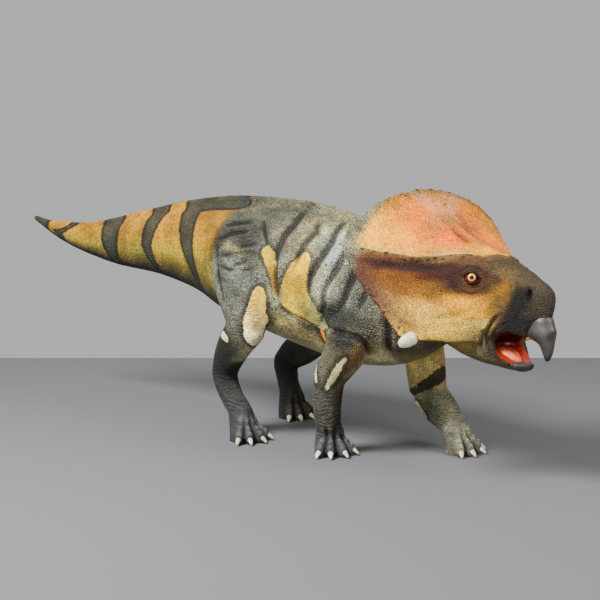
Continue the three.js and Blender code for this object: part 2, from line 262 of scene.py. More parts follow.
def setField(piece, name, values):          # one number a vertex
    layer = piece.data.attributes.new(name, "FLOAT", "POINT")
    layer.data.foreach_set("value", values.astype(np.float32))


def setColours(piece, name, colours):
    layer = piece.data.color_attributes.new(name, "FLOAT_COLOR", "POINT")
    rows = np.ones((len(colours), 4), np.float32)
    rows[:, :3] = colours
    layer.data.foreach_set("color", rows.ravel())


def settle(piece, nodes=()):          # the last step of every piece
    pickOnly(piece)
    bpy.ops.object.shade_smooth()
    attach(piece, "root")
    if nodes:
        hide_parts(*nodes)


# The skin: one surface over all of the flesh

skinForm = {
    "voxel": 0.006,
    "swell": 0.0012,
    "relaxRounds": 40,
    "mostTriangles": 190000,
    "faceFrom": 120,               # head places ahead of this get finer faces
    "faceAbove": 330,              # with body places above this
    "footBelow": 130,              # and body places below this get finer faces too
    "eyeZone": 60,
    "foldDepth": 1.35,
    "muzzleAt": (398, 0, -88),     # fills the front of the muzzle down to the beak
    "muzzleSize": (34, 30, 36),
}
hardNodes = ["upper_beak", "lower_beak", "tongue", "right_cheek_horn", "left_cheek_horn"]
eyeNodes = ["right_eye", "left_eye"]
fleshNodes = [node for node in frame["nodes"] if node not in hardNodes + eyeNodes]

eye = {
    "at": (225, 97, 8),
    "radius": 20.5,
    "gaze": (0.56, 0.82, 0.08),
    "openLength": 22,              # half the length and half the height of the opening
    "openHeight": 12.5,
    "lidThick": 3.2,
    "lidReach": 40,
    "lidBehind": 16,
    "lidRidges": [(1.6, 2.5, 2.5), (-1.5, 8.5, 2.2), (1.2, 13, 3)],     # height, off the edge, half width
    "tilt": 8,
    "look": (0.64, 0.76, 0.10),    # where the pupil points
    "cornea": 1.8,                 # how far it swells
}

feet = {                           # sole centre and heading
    "rightFore": {"at": (134, -130), "heading": -29},
    "leftFore": {"at": (416, 132), "heading": 3},
    "rightHind": {"at": (-180, -176), "heading": -13},
    "leftHind": {"at": (-285, 172), "heading": -8},
}
toe = {                            # what all the toes share, from the sole's centre
    "turns": (-48, -20, 14, 48),
    "reach": 110,
    "topFade": (66, 104),
    "halfWidth": 9,
    "ridge": 1.5,
    "knuckle": 3,
    "knucklesAt": (36, 53, 69),
    "from": (12, 30),              # a toe rises over this length and sinks over the next
    "to": (76, 84),
    "knuckleHalf": 6,
    "valley": 8,
    "valleyHalf": 5,
    "valleyFrom": (26, 46),
    "skinEnd": 78,                 # the skin of a toe ends here, inside its claw
    "clawEnd": 120,
    "clawTop": 60,
    "clawSide": 17,
    "pull": 0.8,                   # how much of what lies beyond is drawn in
}

# Folds of skin, each a line of places, then its depth and half width. They are on both sides.
bodyFolds = [
    ([(-330, 105, 668), (-268, 107, 678), (-205, 105, 686)], 5, 9),
    ([(-338, 131, 620), (-284, 129, 644), (-194, 130, 658)], 5, 9),
    ([(-228, 155, 603), (-180, 157, 616), (-135, 156, 624)], 3.5, 8),
    ([(-220, 184, 552), (-160, 175, 571)], 3, 8),
    ([(-300, 160, 578), (-240, 172, 584), (-170, 172, 596), (-115, 172, 590)], 5, 8),
    ([(-290, 172, 548), (-230, 186, 538), (-170, 184, 540), (-130, 182, 548)], 4, 7),
    ([(-262, 192, 506), (-200, 200, 498), (-150, 198, 508)], 3.5, 7),
    ([(-168, 97, 695), (-135, 128, 664), (-93, 158, 619)], 4, 8),
    ([(-56, 20, 728), (-35, 98, 690), (-45, 137, 652), (-47, 164, 610), (-43, 177, 572)], 6, 15),
    ([(-43, 177, 575), (-36, 184, 531), (-30, 188, 500), (-26, 188, 466)], 8, 8),
    ([(-30, 188, 443), (20, 186, 420), (70, 180, 402), (130, 168, 380)], 5, 7),
    ([(-345, 126, 630), (-359, 138, 586), (-357, 146, 540), (-347, 146, 508)], 8, 7),
    ([(-337, 132, 616), (-310, 161, 555), (-268, 191, 494), (-226, 217, 440)], 5, 8),
    ([(30, 60, 708), (60, 110, 670), (40, 150, 620), (30, 175, 560)], 4, 14),
    ([(110, 33, 699), (129, 127, 634), (112, 162, 584), (95, 179, 537), (90, 188, 480)], 6, 13),
    ([(170, 60, 676), (190, 125, 625), (180, 155, 570), (150, 175, 505), (140, 183, 440)], 5, 12),
    ([(240, 70, 650), (245, 125, 600), (235, 150, 545), (215, 166, 480), (190, 178, 430)], 5, 12),
    ([(300, 90, 610), (296, 130, 560), (285, 148, 505), (262, 160, 450)], 5, 11),
    ([(139, 175, 402), (176, 177, 386), (236, 186, 384), (274, 173, 377), (294, 141, 346), (294, 103, 320)],
     11, 9),
    ([(139, 175, 402), (146, 178, 440), (160, 178, 478)], 6, 8),
    ([(330, 60, 320), (340, 110, 350), (352, 132, 401), (345, 138, 450)], 5, 10),
]
headFolds = [
    ([(315, 60, -75), (291, 74, -105), (277, 79, -143), (280, 70, -175), (292, 64, -204)], 5, 5),
    ([(302, 64, -90), (273, 87, -135), (258, 75, -175), (270, 69, -204)], 3.5, 5),
    ([(206, 130, -14), (219, 122, -32), (239, 107, -38), (257, 92, -25)], 2.6, 3.5),
    ([(198, 135, -4), (208, 136, -34), (228, 124, -50), (250, 106, -46), (268, 88, -30)], 2.2, 4),
    ([(252, 84, 40), (268, 70, 30), (284, 58, 12)], 2.5, 4),
    ([(330, 40, 20), (345, 45, -4), (352, 48, -30), (345, 54, -60)], 3, 6),
    ([(364, 47, 2), (360, 49, -25), (364, 50, -50)], 2.5, 4),
    ([(374, 46, -120), (400, 43, -108), (424, 36, -94), (438, 24, -80), (444, 6, -72)], -4, 7),
    ([(196, 122, 40), (160, 158, 30), (120, 193, 24), (70, 232, 22), (10, 270, 26), (-30, 296, 30)], 6, 11),
    ([(196, 60, 70), (164, 93, 68), (133, 156, 56), (94, 202, 49), (43, 239, 57), (-10, 275, 64)], -5, 8),
    ([(262, 82, 38), (236, 104, 42), (206, 122, 36)], -5, 8),
    ([(-84, 0, 246), (-60, 0, 212), (-19, 0, 163), (36, 0, 131), (123, 0, 98), (200, 0, 80)], -9, 11),
    ([(130, 24, 92), (40, 26, 126), (-14, 26, 156), (-62, 26, 208)], 4, 9),
    ([(200, 140, -20), (170, 175, -30), (120, 215, -36)], -3, 12),
    ([(255, 100, -70), (215, 140, -95), (160, 195, -110)], 2.5, 9),
    ([(250, 95, -100), (205, 140, -130), (150, 195, -150)], 3, 8),
    ([(340, 56, -100), (318, 62, -112), (300, 70, -128)], 2.5, 4),
    ([(372, 50, -64), (360, 54, -84), (352, 54, -104)], 2.5, 5),
]
frillRim = [(140, 250, -178), (66, 282, -100), (-24, 307, -12), (-76, 322, 76), (-78, 252, 168),
            (-66, 130, 226), (-84, 0, 246)]
nostril = {"at": (384, 42, -24), "halfWidth": 9, "halfHeight": 18, "lean": 0.25, "depth": 17,
           "rim": 2, "reach": 26}


def sideOfBody(points):                     # folds the left half onto the right, about the bent tail
    middle = np.interp(points[:, 0], *zip(*layout["tailMiddle"]))
    return np.column_stack([points[:, 0], np.abs(points[:, 1] - middle), points[:, 2]])


def sideOfHead(points):
    return np.column_stack([points[:, 0], np.abs(points[:, 1]), points[:, 2]])


def alongToes(points, turns):               # each turn of each foot: its angle, and places along and across it
    for foot in feet.values():
        for turn in turns:
            angle = math.radians(foot["heading"] + turn)
            x = points[:, 0] - foot["at"][0]
            y = points[:, 1] - foot["at"][1]
            along = x * math.cos(angle) + y * math.sin(angle)
            across = y * math.cos(angle) - x * math.sin(angle)
            yield angle, along, across


def footRelief(points):                     # raised toes and knuckles, and the valleys between the toes
    height = points[:, 2]
    lift = np.zeros(len(points))
    valleys = np.zeros(len(points))
    knuckles = np.zeros(len(points))
    low = 1 - soft(height, *toe["topFade"])
    for angle, along, across in alongToes(points, toe["turns"]):
        near = (np.hypot(along, across) < toe["reach"]) * low
        length = soft(along, *toe["from"]) * (1 - soft(along, *toe["to"]))
        ridge = bump(across, 0, toe["halfWidth"]) * length * near
        bumps = sum(bump(along, at, toe["knuckleHalf"]) for at in toe["knucklesAt"])
        lift += ridge * (toe["ridge"] + toe["knuckle"] * bumps)
        knuckles = np.maximum(knuckles, ridge * bumps)
    gaps = [(first + second) / 2 for first, second in zip(toe["turns"], toe["turns"][1:])]
    for angle, along, across in alongToes(points, gaps):
        near = (np.hypot(along, across) < toe["reach"]) * low
        valley = bump(across, 0, toe["valleyHalf"]) * soft(along, *toe["valleyFrom"]) * near
        lift -= toe["valley"] * valley
        valleys = np.maximum(valleys, valley)
    return lift * soft(height, 1, 8), valleys, knuckles


def foldAmounts(points, folds):             # how far each place sinks, and how deep in a fold it lies
    sink = np.zeros(len(points))
    groove = np.zeros(len(points))
    for line, depth, width in folds:
        rows = nearLine(points, line, width * 4)
        away, share = lineDistance(points[rows], line)
        fade = np.sqrt(np.sin(math.pi * np.clip(share, 0.01, 0.99)))
        inside = bump(away, 0, width)
        lip = bump(away, 2.1 * width, 0.9 * width)
        sink[rows] += depth * fade * (0.4 * lip - inside)
        groove[rows] = np.maximum(groove[rows], inside * fade * min(depth / 5, 1))
    return sink, groove


def relaxWeights(body, head):               # what may be smoothed most, and what must keep its edges
    weights = 1 - 0.72 * soft(-body[:, 2], -330, -180)
    onHead = soft(head[:, 0] + 0.35 * head[:, 2], -10, 30) * (body[:, 0] > 300)
    rim = 1 - soft(lineDistance(sideOfHead(head), frillRim)[0], 22, 50)
    lips = soft(head[:, 0], 270, 300) * soft(-head[:, 2], 90, 110)
    ridge = (1 - soft(sideOfBody(body)[:, 1], 16, 40)) * soft(body[:, 2], 600, 640) * (body[:, 0] < 340)
    for share, weight in ((onHead, 0.32), (rim, 0.05), (lips, 0.06), (ridge, 0.12)):
        weights = mix(weights, weight, share)
    weights *= 1 - 0.8 * soft(-body[:, 0], 900, 1050)
    weights = np.where(body[:, 2] < 80, 0.12, weights)
    return weights * soft(body[:, 2], -1, 3)


def eyeFrame(head, side):                   # how far out of the eye, off its axis and past its opening
    gaze = unit(eye["gaze"], side)
    level = np.cross([0, 0, 1], gaze)
    level *= math.copysign(1, level[0]) / np.linalg.norm(level)
    upward = np.cross(gaze, level)
    upward *= math.copysign(1, upward[2])
    tilt = math.radians(eye["tilt"])
    offset = head - np.array(eye["at"], float) * (1, side, 1)
    along = offset @ (level * math.cos(tilt) - upward * math.sin(tilt))
    above = offset @ (upward * math.cos(tilt) + level * math.sin(tilt))
    edge = (np.abs(above) / eye["openHeight"] + (along / eye["openLength"]) ** 2 - 1) * eye["openHeight"]
    return offset @ gaze, np.hypot(along, above), edge


def shapeEye(head, side):                   # lids that hug the eyeball and the opening between them
    out, around, edge = eyeFrame(head, side)
    rows = np.nonzero((around < eye["lidReach"]) & (out > -eye["lidBehind"]))[0]
    out = out[rows]
    around = around[rows]
    edge = edge[rows]
    ball = eye["radius"]
    lid = np.sqrt(np.maximum((ball + eye["lidThick"]) ** 2 - around ** 2, 0))
    lid = np.maximum(lid, 11 - (around - ball) * 0.35)
    for rise, at, width in eye["lidRidges"]:
        lid += rise * bump(edge, at, width)
    wanted = mix(out, lid, 1 - soft(around, 24, eye["lidReach"]))
    behindBall = np.sqrt(np.maximum((ball - 4) ** 2 - around ** 2, 0)) - 1
    wanted = mix(wanted, behindBall, soft(-edge, -0.6, 0.8))
    moved = head.copy()
    moved[rows] += (wanted - out)[:, None] * unit(eye["gaze"], side)
    return moved


def nostrilAway(head):                      # 1 at the edge of the tall leaning opening
    across = (head[:, 0] - nostril["at"][0]) / nostril["halfWidth"]
    above = (head[:, 2] - nostril["at"][2]) / nostril["halfHeight"]
    return np.hypot(across + nostril["lean"] * above, above)


def shapeNostril(head, side):               # sinks it into the side of the muzzle
    near = np.abs(head[:, 1] - side * nostril["at"][1]) < nostril["reach"]
    away = nostrilAway(head)
    sink = nostril["depth"] * (1 - soft(away, 0.35, 1.15))
    moved = head.copy()
    moved[:, 1] -= side * (sink - nostril["rim"] * bump(away, 1.5, 0.4)) * near
    return moved


def coverFlesh():                           # one closed surface, smoothed, with finer faces on face and feet
    skin = copyNodes("skin", fleshNodes + eyeNodes)
    addBall(skin, skinForm["muzzleAt"], skinForm["muzzleSize"])
    swell(skin, skinForm["swell"])
    finishWith(skin, "REMESH", mode="VOXEL", voxel_size=skinForm["voxel"])
    keepIsland(skin, fromBody(layout["tailEnd"]))
    places = getPlaces(skin)
    relax(skin, relaxWeights(toBody(places), toHead(places)), skinForm["relaxRounds"])
    print("skin remeshed and smoothed:", len(skin.data.polygons), "faces")

    head = toHead(getPlaces(skin))
    body = toBody(getPlaces(skin))
    onFace = (head[:, 0] > skinForm["faceFrom"]) & (body[:, 0] > 420) & (body[:, 2] > skinForm["faceAbove"])
    refineWhere(skin, onFace | (body[:, 2] < skinForm["footBelow"]))
    refineWhere(skin, awayFrom(sideOfHead(toHead(getPlaces(skin))), eye["at"]) < skinForm["eyeZone"])
    head = toHead(getPlaces(skin))
    height = toBody(getPlaces(skin))[:, 2]
    onFace = (head[:, 0] > skinForm["faceFrom"]) & (height > skinForm["faceAbove"])
    relax(skin, 0.6 * (onFace | (height < skinForm["footBelow"]) & (height > 4)), 5)
    return skin


def sculptSkin(skin):                       # toes drawn into their claws, folds, feet, eyes and nostrils
    points = toBody(getPlaces(skin))
    for angle, along, across in alongToes(points, toe["turns"]):
        beyond = (along > toe["skinEnd"]) & (along < toe["clawEnd"]) & (points[:, 2] < toe["clawTop"])
        pull = (along - toe["skinEnd"]) * toe["pull"] * (beyond & (np.abs(across) < toe["clawSide"]))
        points[:, 0] -= pull * math.cos(angle)
        points[:, 1] -= pull * math.sin(angle)
    setPlaces(skin, fromBody(points))

    head = toHead(getPlaces(skin))
    lift = foldAmounts(sideOfBody(points), bodyFolds)[0] * skinForm["foldDepth"]
    lift *= 1 - soft(head[:, 0], 20, 60) * (points[:, 2] > 380)
    lift += foldAmounts(sideOfHead(head), headFolds)[0] * (points[:, 0] > 420)
    lift += footRelief(points)[0]
    setPlaces(skin, getPlaces(skin) + getNormals(skin) * lift[:, None] / 1000)
    for side in (-1, 1):
        for shape in (shapeEye, shapeNostril):
            setPlaces(skin, fromHead(shape(toHead(getPlaces(skin)), side)))


def makeSkin():
    skin = coverFlesh()
    sculptSkin(skin)
    triangles = sum(len(face.vertices) - 2 for face in skin.data.polygons)
    print("skin shaped:", triangles, "triangles")
    if triangles > skinForm["mostTriangles"]:
        finishWith(skin, "DECIMATE", ratio=skinForm["mostTriangles"] / triangles)
    settle(skin, fleshNodes)
    return skin


skin = makeSkin()
print("skin made:", len(skin.data.polygons), "faces")


# Paint: soft colour, blended from strokes, and the distances that crisp marks are drawn from

brush = {"ground": 0.05, "peak": 0.8, "fall": 2.3, "core": 0.12, "reach": 2.6}   # how a stroke of paint fades


def airbrush(points, base, strokes):        # each stroke is a line or one place, a radius and a colour
    total = np.full((len(points), 1), brush["ground"])
    colours = np.broadcast_to(base, (len(points), 3)) * brush["ground"]
    for line, radius, tone in strokes:
        rows = nearLine(points, line, radius * brush["reach"])
        away = lineDistance(points[rows], line)[0]
        fade = np.sqrt((away / radius) ** 2 + brush["core"])
        weight = np.exp(brush["peak"] - brush["fall"] * fade)[:, None]
        total[rows] += weight
        colours[rows] += weight * paintColour(*tone)
    return colours / total


def stripMark(points, line, widths):        # how far inside a strip each place lies, and the share along it
    depth = np.full(len(points), -60.0)
    along = np.zeros(len(points))
    rows = nearLine(points, line, max(widths) + 60)
    away, share = lineDistance(points[rows], line)
    steps = np.linspace(0, 1, len(widths))
    depth[rows] = np.maximum(np.interp(share, steps, widths) - away, -60)
    along[rows] = share
    return depth, along


bodyPaint = {
    "base": (158, 156, 138),
    "tailTop": (198, 152, 0),
    "tailMiddle": (188, 172, 110),
    # the tail's low colour is dark grey: painted shade on the tail's lower side
    "tailUnderShade": (70, 69, 68),
    "belly": (205, 200, 172),
    "tailFrom": (340, 372),                 # how far behind the hips the tail's colours fade in
    "tailLevels": (-0.85, -0.05, 0.7),      # of its low, middle and top colours, from -1 to 1
    # painted highlight on the raised knuckles of the toes
    "knuckleHighlight": 1.4,
    "strokes": [                            # on both sides
        ([(-330, 60, 715), (-100, 60, 725)], 60, (122, 118, 102)),
        ([(20, 60, 720), (150, 60, 690)], 50, (166, 162, 136)),
        ([(-300, 120, 640), (-180, 140, 640)], 60, (82, 81, 76)),
        ([(-240, 180, 540), (-200, 190, 480)], 60, (141, 144, 134)),
        ([(175, 135, 620), (160, 160, 570), (140, 170, 520)], 36, (236, 236, 218)),
        ([(60, 140, 650), (200, 130, 640)], 60, (200, 196, 170)),
        ([(150, 100, 655), (160, 150, 600)], 34, (255, 255, 244)),
        # Painted shade along the fold above the belly
        ([(-20, 186, 440), (60, 180, 420), (130, 172, 390)], 10, (70, 66, 54)),
        ([(180, 165, 560), (230, 170, 480)], 40, (150, 148, 132)),
        ([(120, 180, 560), (100, 188, 480)], 36, (176, 172, 146)),
        ([(20, 165, 620), (-40, 165, 640)], 45, (158, 153, 134)),
        ([(-60, 150, 330), (100, 150, 300), (240, 130, 290)], 50, (235, 220, 165)),
        ([(-45, 189, 478), (-10, 187, 447), (40, 184, 424), (90, 175, 405), (150, 170, 388)], 15,
         (255, 255, 220)),
        # The next seven strokes darken the body along its folds: painted shade in the folds
        ([(-56, 20, 728), (-35, 98, 690), (-45, 137, 652), (-47, 164, 612)], 20, (117, 115, 105)),
        ([(110, 33, 699), (129, 127, 634), (112, 162, 584), (95, 179, 537)], 9, (112, 111, 104)),
        ([(240, 110, 600), (215, 166, 480), (200, 178, 420)], 24, (115, 114, 108)),
        ([(-330, 105, 660), (-230, 110, 678), (-180, 120, 670)], 18, (103, 100, 91)),
        ([(-338, 131, 626), (-284, 129, 644), (-194, 130, 652)], 12, (110, 108, 96)),
        ([(-250, 170, 585), (-140, 170, 600)], 12, (115, 112, 103)),
        ([(-290, 180, 520), (-200, 190, 500)], 18, (120, 118, 110)),
        ([(-280, 150, 610), (-200, 155, 590)], 16, (211, 206, 168)),
        # Painted shade below the shoulder, where the upper arm meets the chest
        ([(172, 179, 448), (205, 178, 425), (250, 176, 440)], 28, (46, 46, 47)),
        ([(280, 130, 560), (300, 140, 480), (300, 130, 400)], 50, (158, 153, 136)),
        ([(340, 60, 380), (380, 90, 460), (390, 110, 540)], 50, (124, 115, 96)),
        ([(430, 0, 340), (480, 0, 380)], 50, (144, 132, 108)),
        ([(-410, 110, 660), (-412, 120, 590), (-400, 120, 520)], 30, (255, 189, 69)),
    ],
}
legPaint = [                                # body places, each leg its own
    ([(-200, -200, 420), (-150, -215, 380)], 45, (130, 130, 120)),
    ([(-214, -200, 300), (-262, -190, 215)], 52, (44, 43, 41)),
    ([(-262, -190, 170), (-228, -185, 118)], 40, (92, 92, 92)),
    ([(-190, -180, 60), (-140, -190, 30)], 60, (84, 84, 86)),
    ([(-200, 170, 420), (-150, 180, 350)], 45, (96, 90, 80)),
    ([(-220, 174, 270), (-310, 172, 190)], 55, (66, 60, 52)),
    # The left hind foot painted near black: painted shade, as it stands in the body's shadow
    ([(-308, 172, 150), (-285, 172, 60)], 64, (24, 22, 20)),
    ([(240, -160, 430), (210, -170, 350)], 45, (94, 92, 84)),
    ([(180, -190, 300), (160, -190, 250)], 36, (112, 110, 102)),
    ([(205, -120, 300), (165, -120, 240)], 36, (120, 98, 72)),
    ([(140, -190, 210), (140, -185, 120)], 36, (116, 114, 106)),
    ([(180, -140, 200), (176, -135, 110)], 26, (84, 74, 62)),
    ([(134, -150, 50), (190, -170, 25)], 60, (98, 98, 96)),
    ([(290, 100, 350), (290, 100, 230)], 48, (255, 238, 190)),
    ([(330, 150, 330), (320, 160, 240)], 40, (240, 220, 170)),
    ([(262, 130, 170), (300, 120, 150)], 40, (170, 166, 136)),
    ([(350, 120, 130), (398, 110, 90)], 44, (164, 161, 144)),
    ([(416, 110, 50), (470, 120, 25)], 60, (132, 130, 120)),
    ([(330, 30, 330), (300, 60, 300)], 40, (150, 140, 110)),
    ([(316, 116, 162), (334, 116, 118)], 20, (40, 33, 26)),
    ([(130, -150, 360), (100, -170, 400)], 26, (92, 90, 84)),
    ([(203, -180, 415), (252, -183, 392), (240, -192, 366)], 24, (74, 74, 72)),
    ([(232, -180, 280), (275, -165, 332)], 22, (150, 124, 96)),
]
tailBands = [                               # middle and half width of a band at the top, side and foot
    ((-1050, -1112, -1075), (16, 20, 12)),
    ((-890, -878, -861), (42, 33, 16)),
    ((-697, -709, -665), (38, 22, 10)),
    ((-545, -500, -418), (44, 29, 13)),
]
tailTipBand = -1152                         # the tail is dark behind this
tailSaddle = ([(-556, 5, 700), (-500, 15, 716), (-440, 16, 738), (-380, 12, 732), (-335, 10, 732)],
              (26, 32, 34, 38, 38))         # a line and its half widths
trunkEnds = [(-1214, 663, 649), (-1100, 634, 575), (-900, 648, 503), (-700, 687, 475), (-500, 720, 425),
             (-340, 730, 366), (0, 718, 288)]                   # x, top and bottom of the trunk
# A line on the body, its half widths, its colours from end to end, and its side, or 0 for both.
paleMarks = [
    ([(-92, 168, 604), (-76, 168, 590), (-60, 174, 562), (-44, 185, 522), (-37, 187, 496), (-33, 188, 470)],
     (20, 24, 17, 12, 9, 6), ((190, 168, 66), (180, 138, 62)), 0),
    ([(60, 160, 582), (47, 176, 550), (40, 187, 510), (38, 187, 470), (80, 180, 440), (136, 172, 404)],
     (28, 42, 50, 50, 40, 22), ((216, 184, 72), (162, 158, 122)), 0),
    ([(-96, -196, 478), (-88, -214, 450), (-82, -224, 412), (-84, -216, 362), (-98, -190, 300)],
     (20, 34, 48, 50, 24), ((250, 218, 130), (255, 252, 230)), -1),
    ([(-96, 186, 440), (-94, 208, 400), (-98, 212, 340), (-110, 200, 280)], (16, 34, 40, 20),
     ((206, 180, 120), (214, 200, 162)), 1),
    ([(-232, -222, 338), (-206, -228, 326)], (14, 12), ((206, 200, 172), (206, 200, 172)), -1),
    ([(172, -196, 214), (198, -197, 249), (224, -194, 291), (240, -188, 312)], (7, 12, 12, 6),
     ((196, 190, 160), (214, 206, 180)), -1),
    ([(127, -191, 275), (138, -200, 232)], (9, 7), ((196, 190, 166), (196, 190, 166)), -1),
    ([(133, -168, 386), (134, -158, 352)], (9, 8), ((216, 150, 66), (216, 150, 66)), -1),
    ([(281, 116, 130), (304, 119, 102)], (16, 13), ((196, 196, 164), (186, 186, 156)), 1),
]
darkMarks = [                               # the same, without a pale side
    # painted shade in the deep fold at the base of the tail
    ([(-358, 134, 600), (-354, 145, 560), (-353, 146, 514)], (2, 5, 2), 0),
    ([(249, 119, 164), (283, 104, 178), (310, 102, 195), (330, 111, 208), (350, 130, 226), (362, 160, 240)],
     (10, 12, 15, 19, 22, 20), 1),
]


def tailMark(points):                       # how far inside a tail band each place lies, and its level
    xs, tops, lows = zip(*trunkEnds)
    top = np.interp(points[:, 0], xs, tops)
    low = np.interp(points[:, 0], xs, lows)
    level = np.clip((points[:, 2] - (top + low) / 2) / ((top - low) / 2 + 1), -1, 1)
    depth = tailTipBand - points[:, 0]
    for middles, halves in tailBands:
        centre = np.interp(level, (-1, 0, 1), middles[::-1])
        half = np.interp(level, (-1, 0, 1), halves[::-1])
        depth = np.maximum(depth, half - np.abs(points[:, 0] - centre))
    saddle = stripMark(points, *tailSaddle)[0]
    return np.clip(np.maximum(depth, saddle), -60, 60), level


shelfLine = [(-60, 310, 76), (-31, 291, 69), (5, 266, 62), (43, 239, 57), (94, 202, 49), (133, 156, 56),
             (164, 93, 68), (206, 46, 68), (215, 0, 72)]
headPaint = {
    "base": (150, 132, 100),
    "strokes": [                            # head places, on both sides
        ([(264, 36, 56), (285, 11, 58), (320, 0, 56)], 26, (92, 80, 62)),
        ([(190, 30, 80), (225, 0, 74)], 26, (128, 108, 84)),
        ([(230, 80, 50), (200, 100, 48)], 16, (122, 98, 74)),
        ([(362, 47, -38), (350, 51, -66), (324, 57, -110)], 22, (14, 13, 13)),
        ([(405, 10, -10), (417, 29, -32), (425, 10, -70)], 24, (84, 80, 68)),
        ([(425, 20, -84), (390, 42, -96), (356, 50, -92)], 18, (20, 18, 18)),
        ([(384, 40, -10), (384, 40, -38)], 13, (14, 13, 13)),
        ([(436, 0, -74), (424, 22, -84)], 9, (84, 76, 68)),
        ([(345, 50, -112), (380, 42, -106)], 14, (44, 42, 42)),
        ([(360, 20, 32), (395, 10, 12)], 22, (92, 84, 70)),
        ([(284, 70, -20), (306, 61, -14)], 12, (190, 148, 60)),
        ([(300, 66, -50), (290, 72, -84)], 20, (150, 130, 92)),
        ([(200, 146, -60), (222, 126, -56), (240, 111, -58), (262, 95, -64)], 17, (250, 190, 30)),
        ([(226, 126, -80), (262, 98, -82)], 17, (250, 192, 44)),
        ([(275, 82, -40), (270, 86, -60)], 14, (206, 160, 66)),
        ([(205, 150, -105), (180, 185, -105)], 26, (238, 208, 146)),
        ([(150, 212, -90), (120, 232, -90)], 28, (240, 206, 150)),
        ([(270, 88, -110), (240, 110, -130)], 22, (226, 206, 152)),
        ([(200, 150, -140), (150, 190, -150), (124, 225, -150)], 34, (255, 226, 152)),
        ([(230, 110, -165), (190, 125, -185)], 22, (222, 202, 158)),
        ([(60, 270, -60), (90, 255, -95), (115, 246, -130)], 22, (156, 130, 104)),
        ([(-20, 300, -6), (20, 284, -40), (50, 280, -80)], 20, (120, 92, 82)),
        ([(118, 240, -120), (140, 228, -140)], 12, (96, 82, 66)),
        ([(52, 248, -10), (81, 230, -24), (112, 208, -36)], 20, (158, 110, 34)),
        ([(148, 178, -26), (150, 180, -48)], 16, (146, 112, 50)),
        ([(-20, 295, 28), (54, 242, 25), (90, 214, 22), (122, 190, 18)], 13, (122, 84, 68)),
        ([(122, 190, 14), (154, 164, 14), (182, 140, 24)], 16, (92, 52, 42)),
        ([(262, 90, 14), (258, 92, -10), (238, 112, -30), (212, 128, -28)], 14, (96, 70, 50)),
        ([(200, 130, 34), (186, 140, 4), (196, 138, -20)], 16, (66, 40, 32)),
        ([(240, 96, 36), (215, 112, 40)], 12, (70, 56, 44)),
        ([(268, 84, -22), (290, 72, 0)], 14, (84, 72, 50)),
        ([(283, 72, -150), (294, 66, -184), (321, 58, -208), (352, 36, -218)], 9, (38, 36, 34)),
        ([(296, 68, -136), (334, 58, -127), (366, 48, -132)], 8, (40, 38, 38)),
        # Painted shade in the fold behind the nostril
        ([(368, 46, -14), (364, 47, -30), (372, 46, -50)], 8, (20, 19, 19)),
        ([(300, 64, -160), (285, 76, -190)], 18, (92, 84, 72)),
        ([(255, 88, -150), (230, 105, -180)], 26, (150, 138, 112)),
        ([(200, 110, -205), (260, 60, -224), (310, 30, -228)], 26, (140, 130, 112)),
        ([(120, 130, -190), (150, 170, -180)], 36, (128, 116, 94)),
        ([(375, 0, -222), (360, 18, -226)], 16, (150, 140, 122)),
    ],
    "frill": (255, 204, 112),
    "frillStrokes": [
        ([(-30, 290, 90), (-60, 270, 130)], 60, (255, 210, 112)),
        ([(-40, 300, 60), (-70, 280, 130)], 18, (196, 172, 120)),
        ([(60, 200, 80), (20, 190, 130), (-20, 190, 160)], 60, (255, 200, 132)),
        ([(60, 120, 110), (0, 120, 170)], 40, (255, 170, 104)),
        ([(90, 60, 105), (20, 60, 160)], 30, (246, 164, 124)),
        ([(-50, 60, 220), (-20, 30, 180)], 28, (232, 190, 164)),
        ([(150, 0, 95), (60, 0, 125), (-19, 0, 163), (-86, 0, 240)], 10, (196, 160, 130)),
        # Darker beside the frill's crest, on both sides: partly paint, partly painted shade of the crest
        ([(110, 22, 98), (40, 24, 128), (-14, 24, 156), (-60, 24, 206)], 12, (158, 112, 84)),
        ([(120, 150, 62), (160, 95, 74)], 20, (222, 180, 142)),
        ([(-70, 110, 225), (-70, 60, 236)], 16, (226, 200, 170)),
    ],
    "frillBack": (140, 124, 92),
    "frillRim": (122, 112, 84),
    "rimWidth": (6, 32),
    "rimStrength": 0.75,
}


creaseLines = [                             # where the legs crease, and how far round each line
    ([(139, -152, 200), (137, -145, 80)], 60),
    ([(350, 149, 130), (400, 145, 80)], 60),
    ([(-268, -172, 205), (-228, -172, 100)], 60),
    ([(-308, 172, 190), (-300, 172, 90)], 60),
]
creaseBalls = [                             # rump, knee and neck: centre, stretch, where it fades and strength
    ((-250, 120, 610), (1.3, 1, 0.8), (60, 130), 0.6),
    ((-115, 205, 385), (1, 1, 1), (60, 100), 0.7),
    ((330, 120, 420), (1, 1, 1), (60, 110), 0.5),
]
skull = {                                   # head places
    "centre": (-170, 0, -90),
    "from": (300, 318),                     # how far from its centre its paint fades in
    "cheek": (130, 215, -110),
}
mouth = {"back": 222, "front": 398, "low": -216, "high": -118, "step": 5, "lip": 4}


def paintBody(body, normals):               # trunk, legs and tail
    side = sideOfBody(body)
    colours = airbrush(side, paintColour(*bodyPaint["base"]), bodyPaint["strokes"])
    low = body[:, 2] < 430
    colours[low] = airbrush(body[low], colours[low], legPaint)
    tail, level = tailMark(side)
    tones = [paintColour(*bodyPaint[name]) for name in ("tailUnderShade", "tailMiddle", "tailTop")]
    tailColours = [np.interp(level, bodyPaint["tailLevels"], parts) for parts in zip(*tones)]
    colours = mix(colours, np.column_stack(tailColours), soft(-side[:, 0], *bodyPaint["tailFrom"])[:, None])
    under = soft(-normals[:, 2], 0.35, 0.8) * (np.abs(body[:, 0]) < 330) * (body[:, 2] > 250)
    return mix(colours, paintColour(*bodyPaint["belly"]), under[:, None]), tail


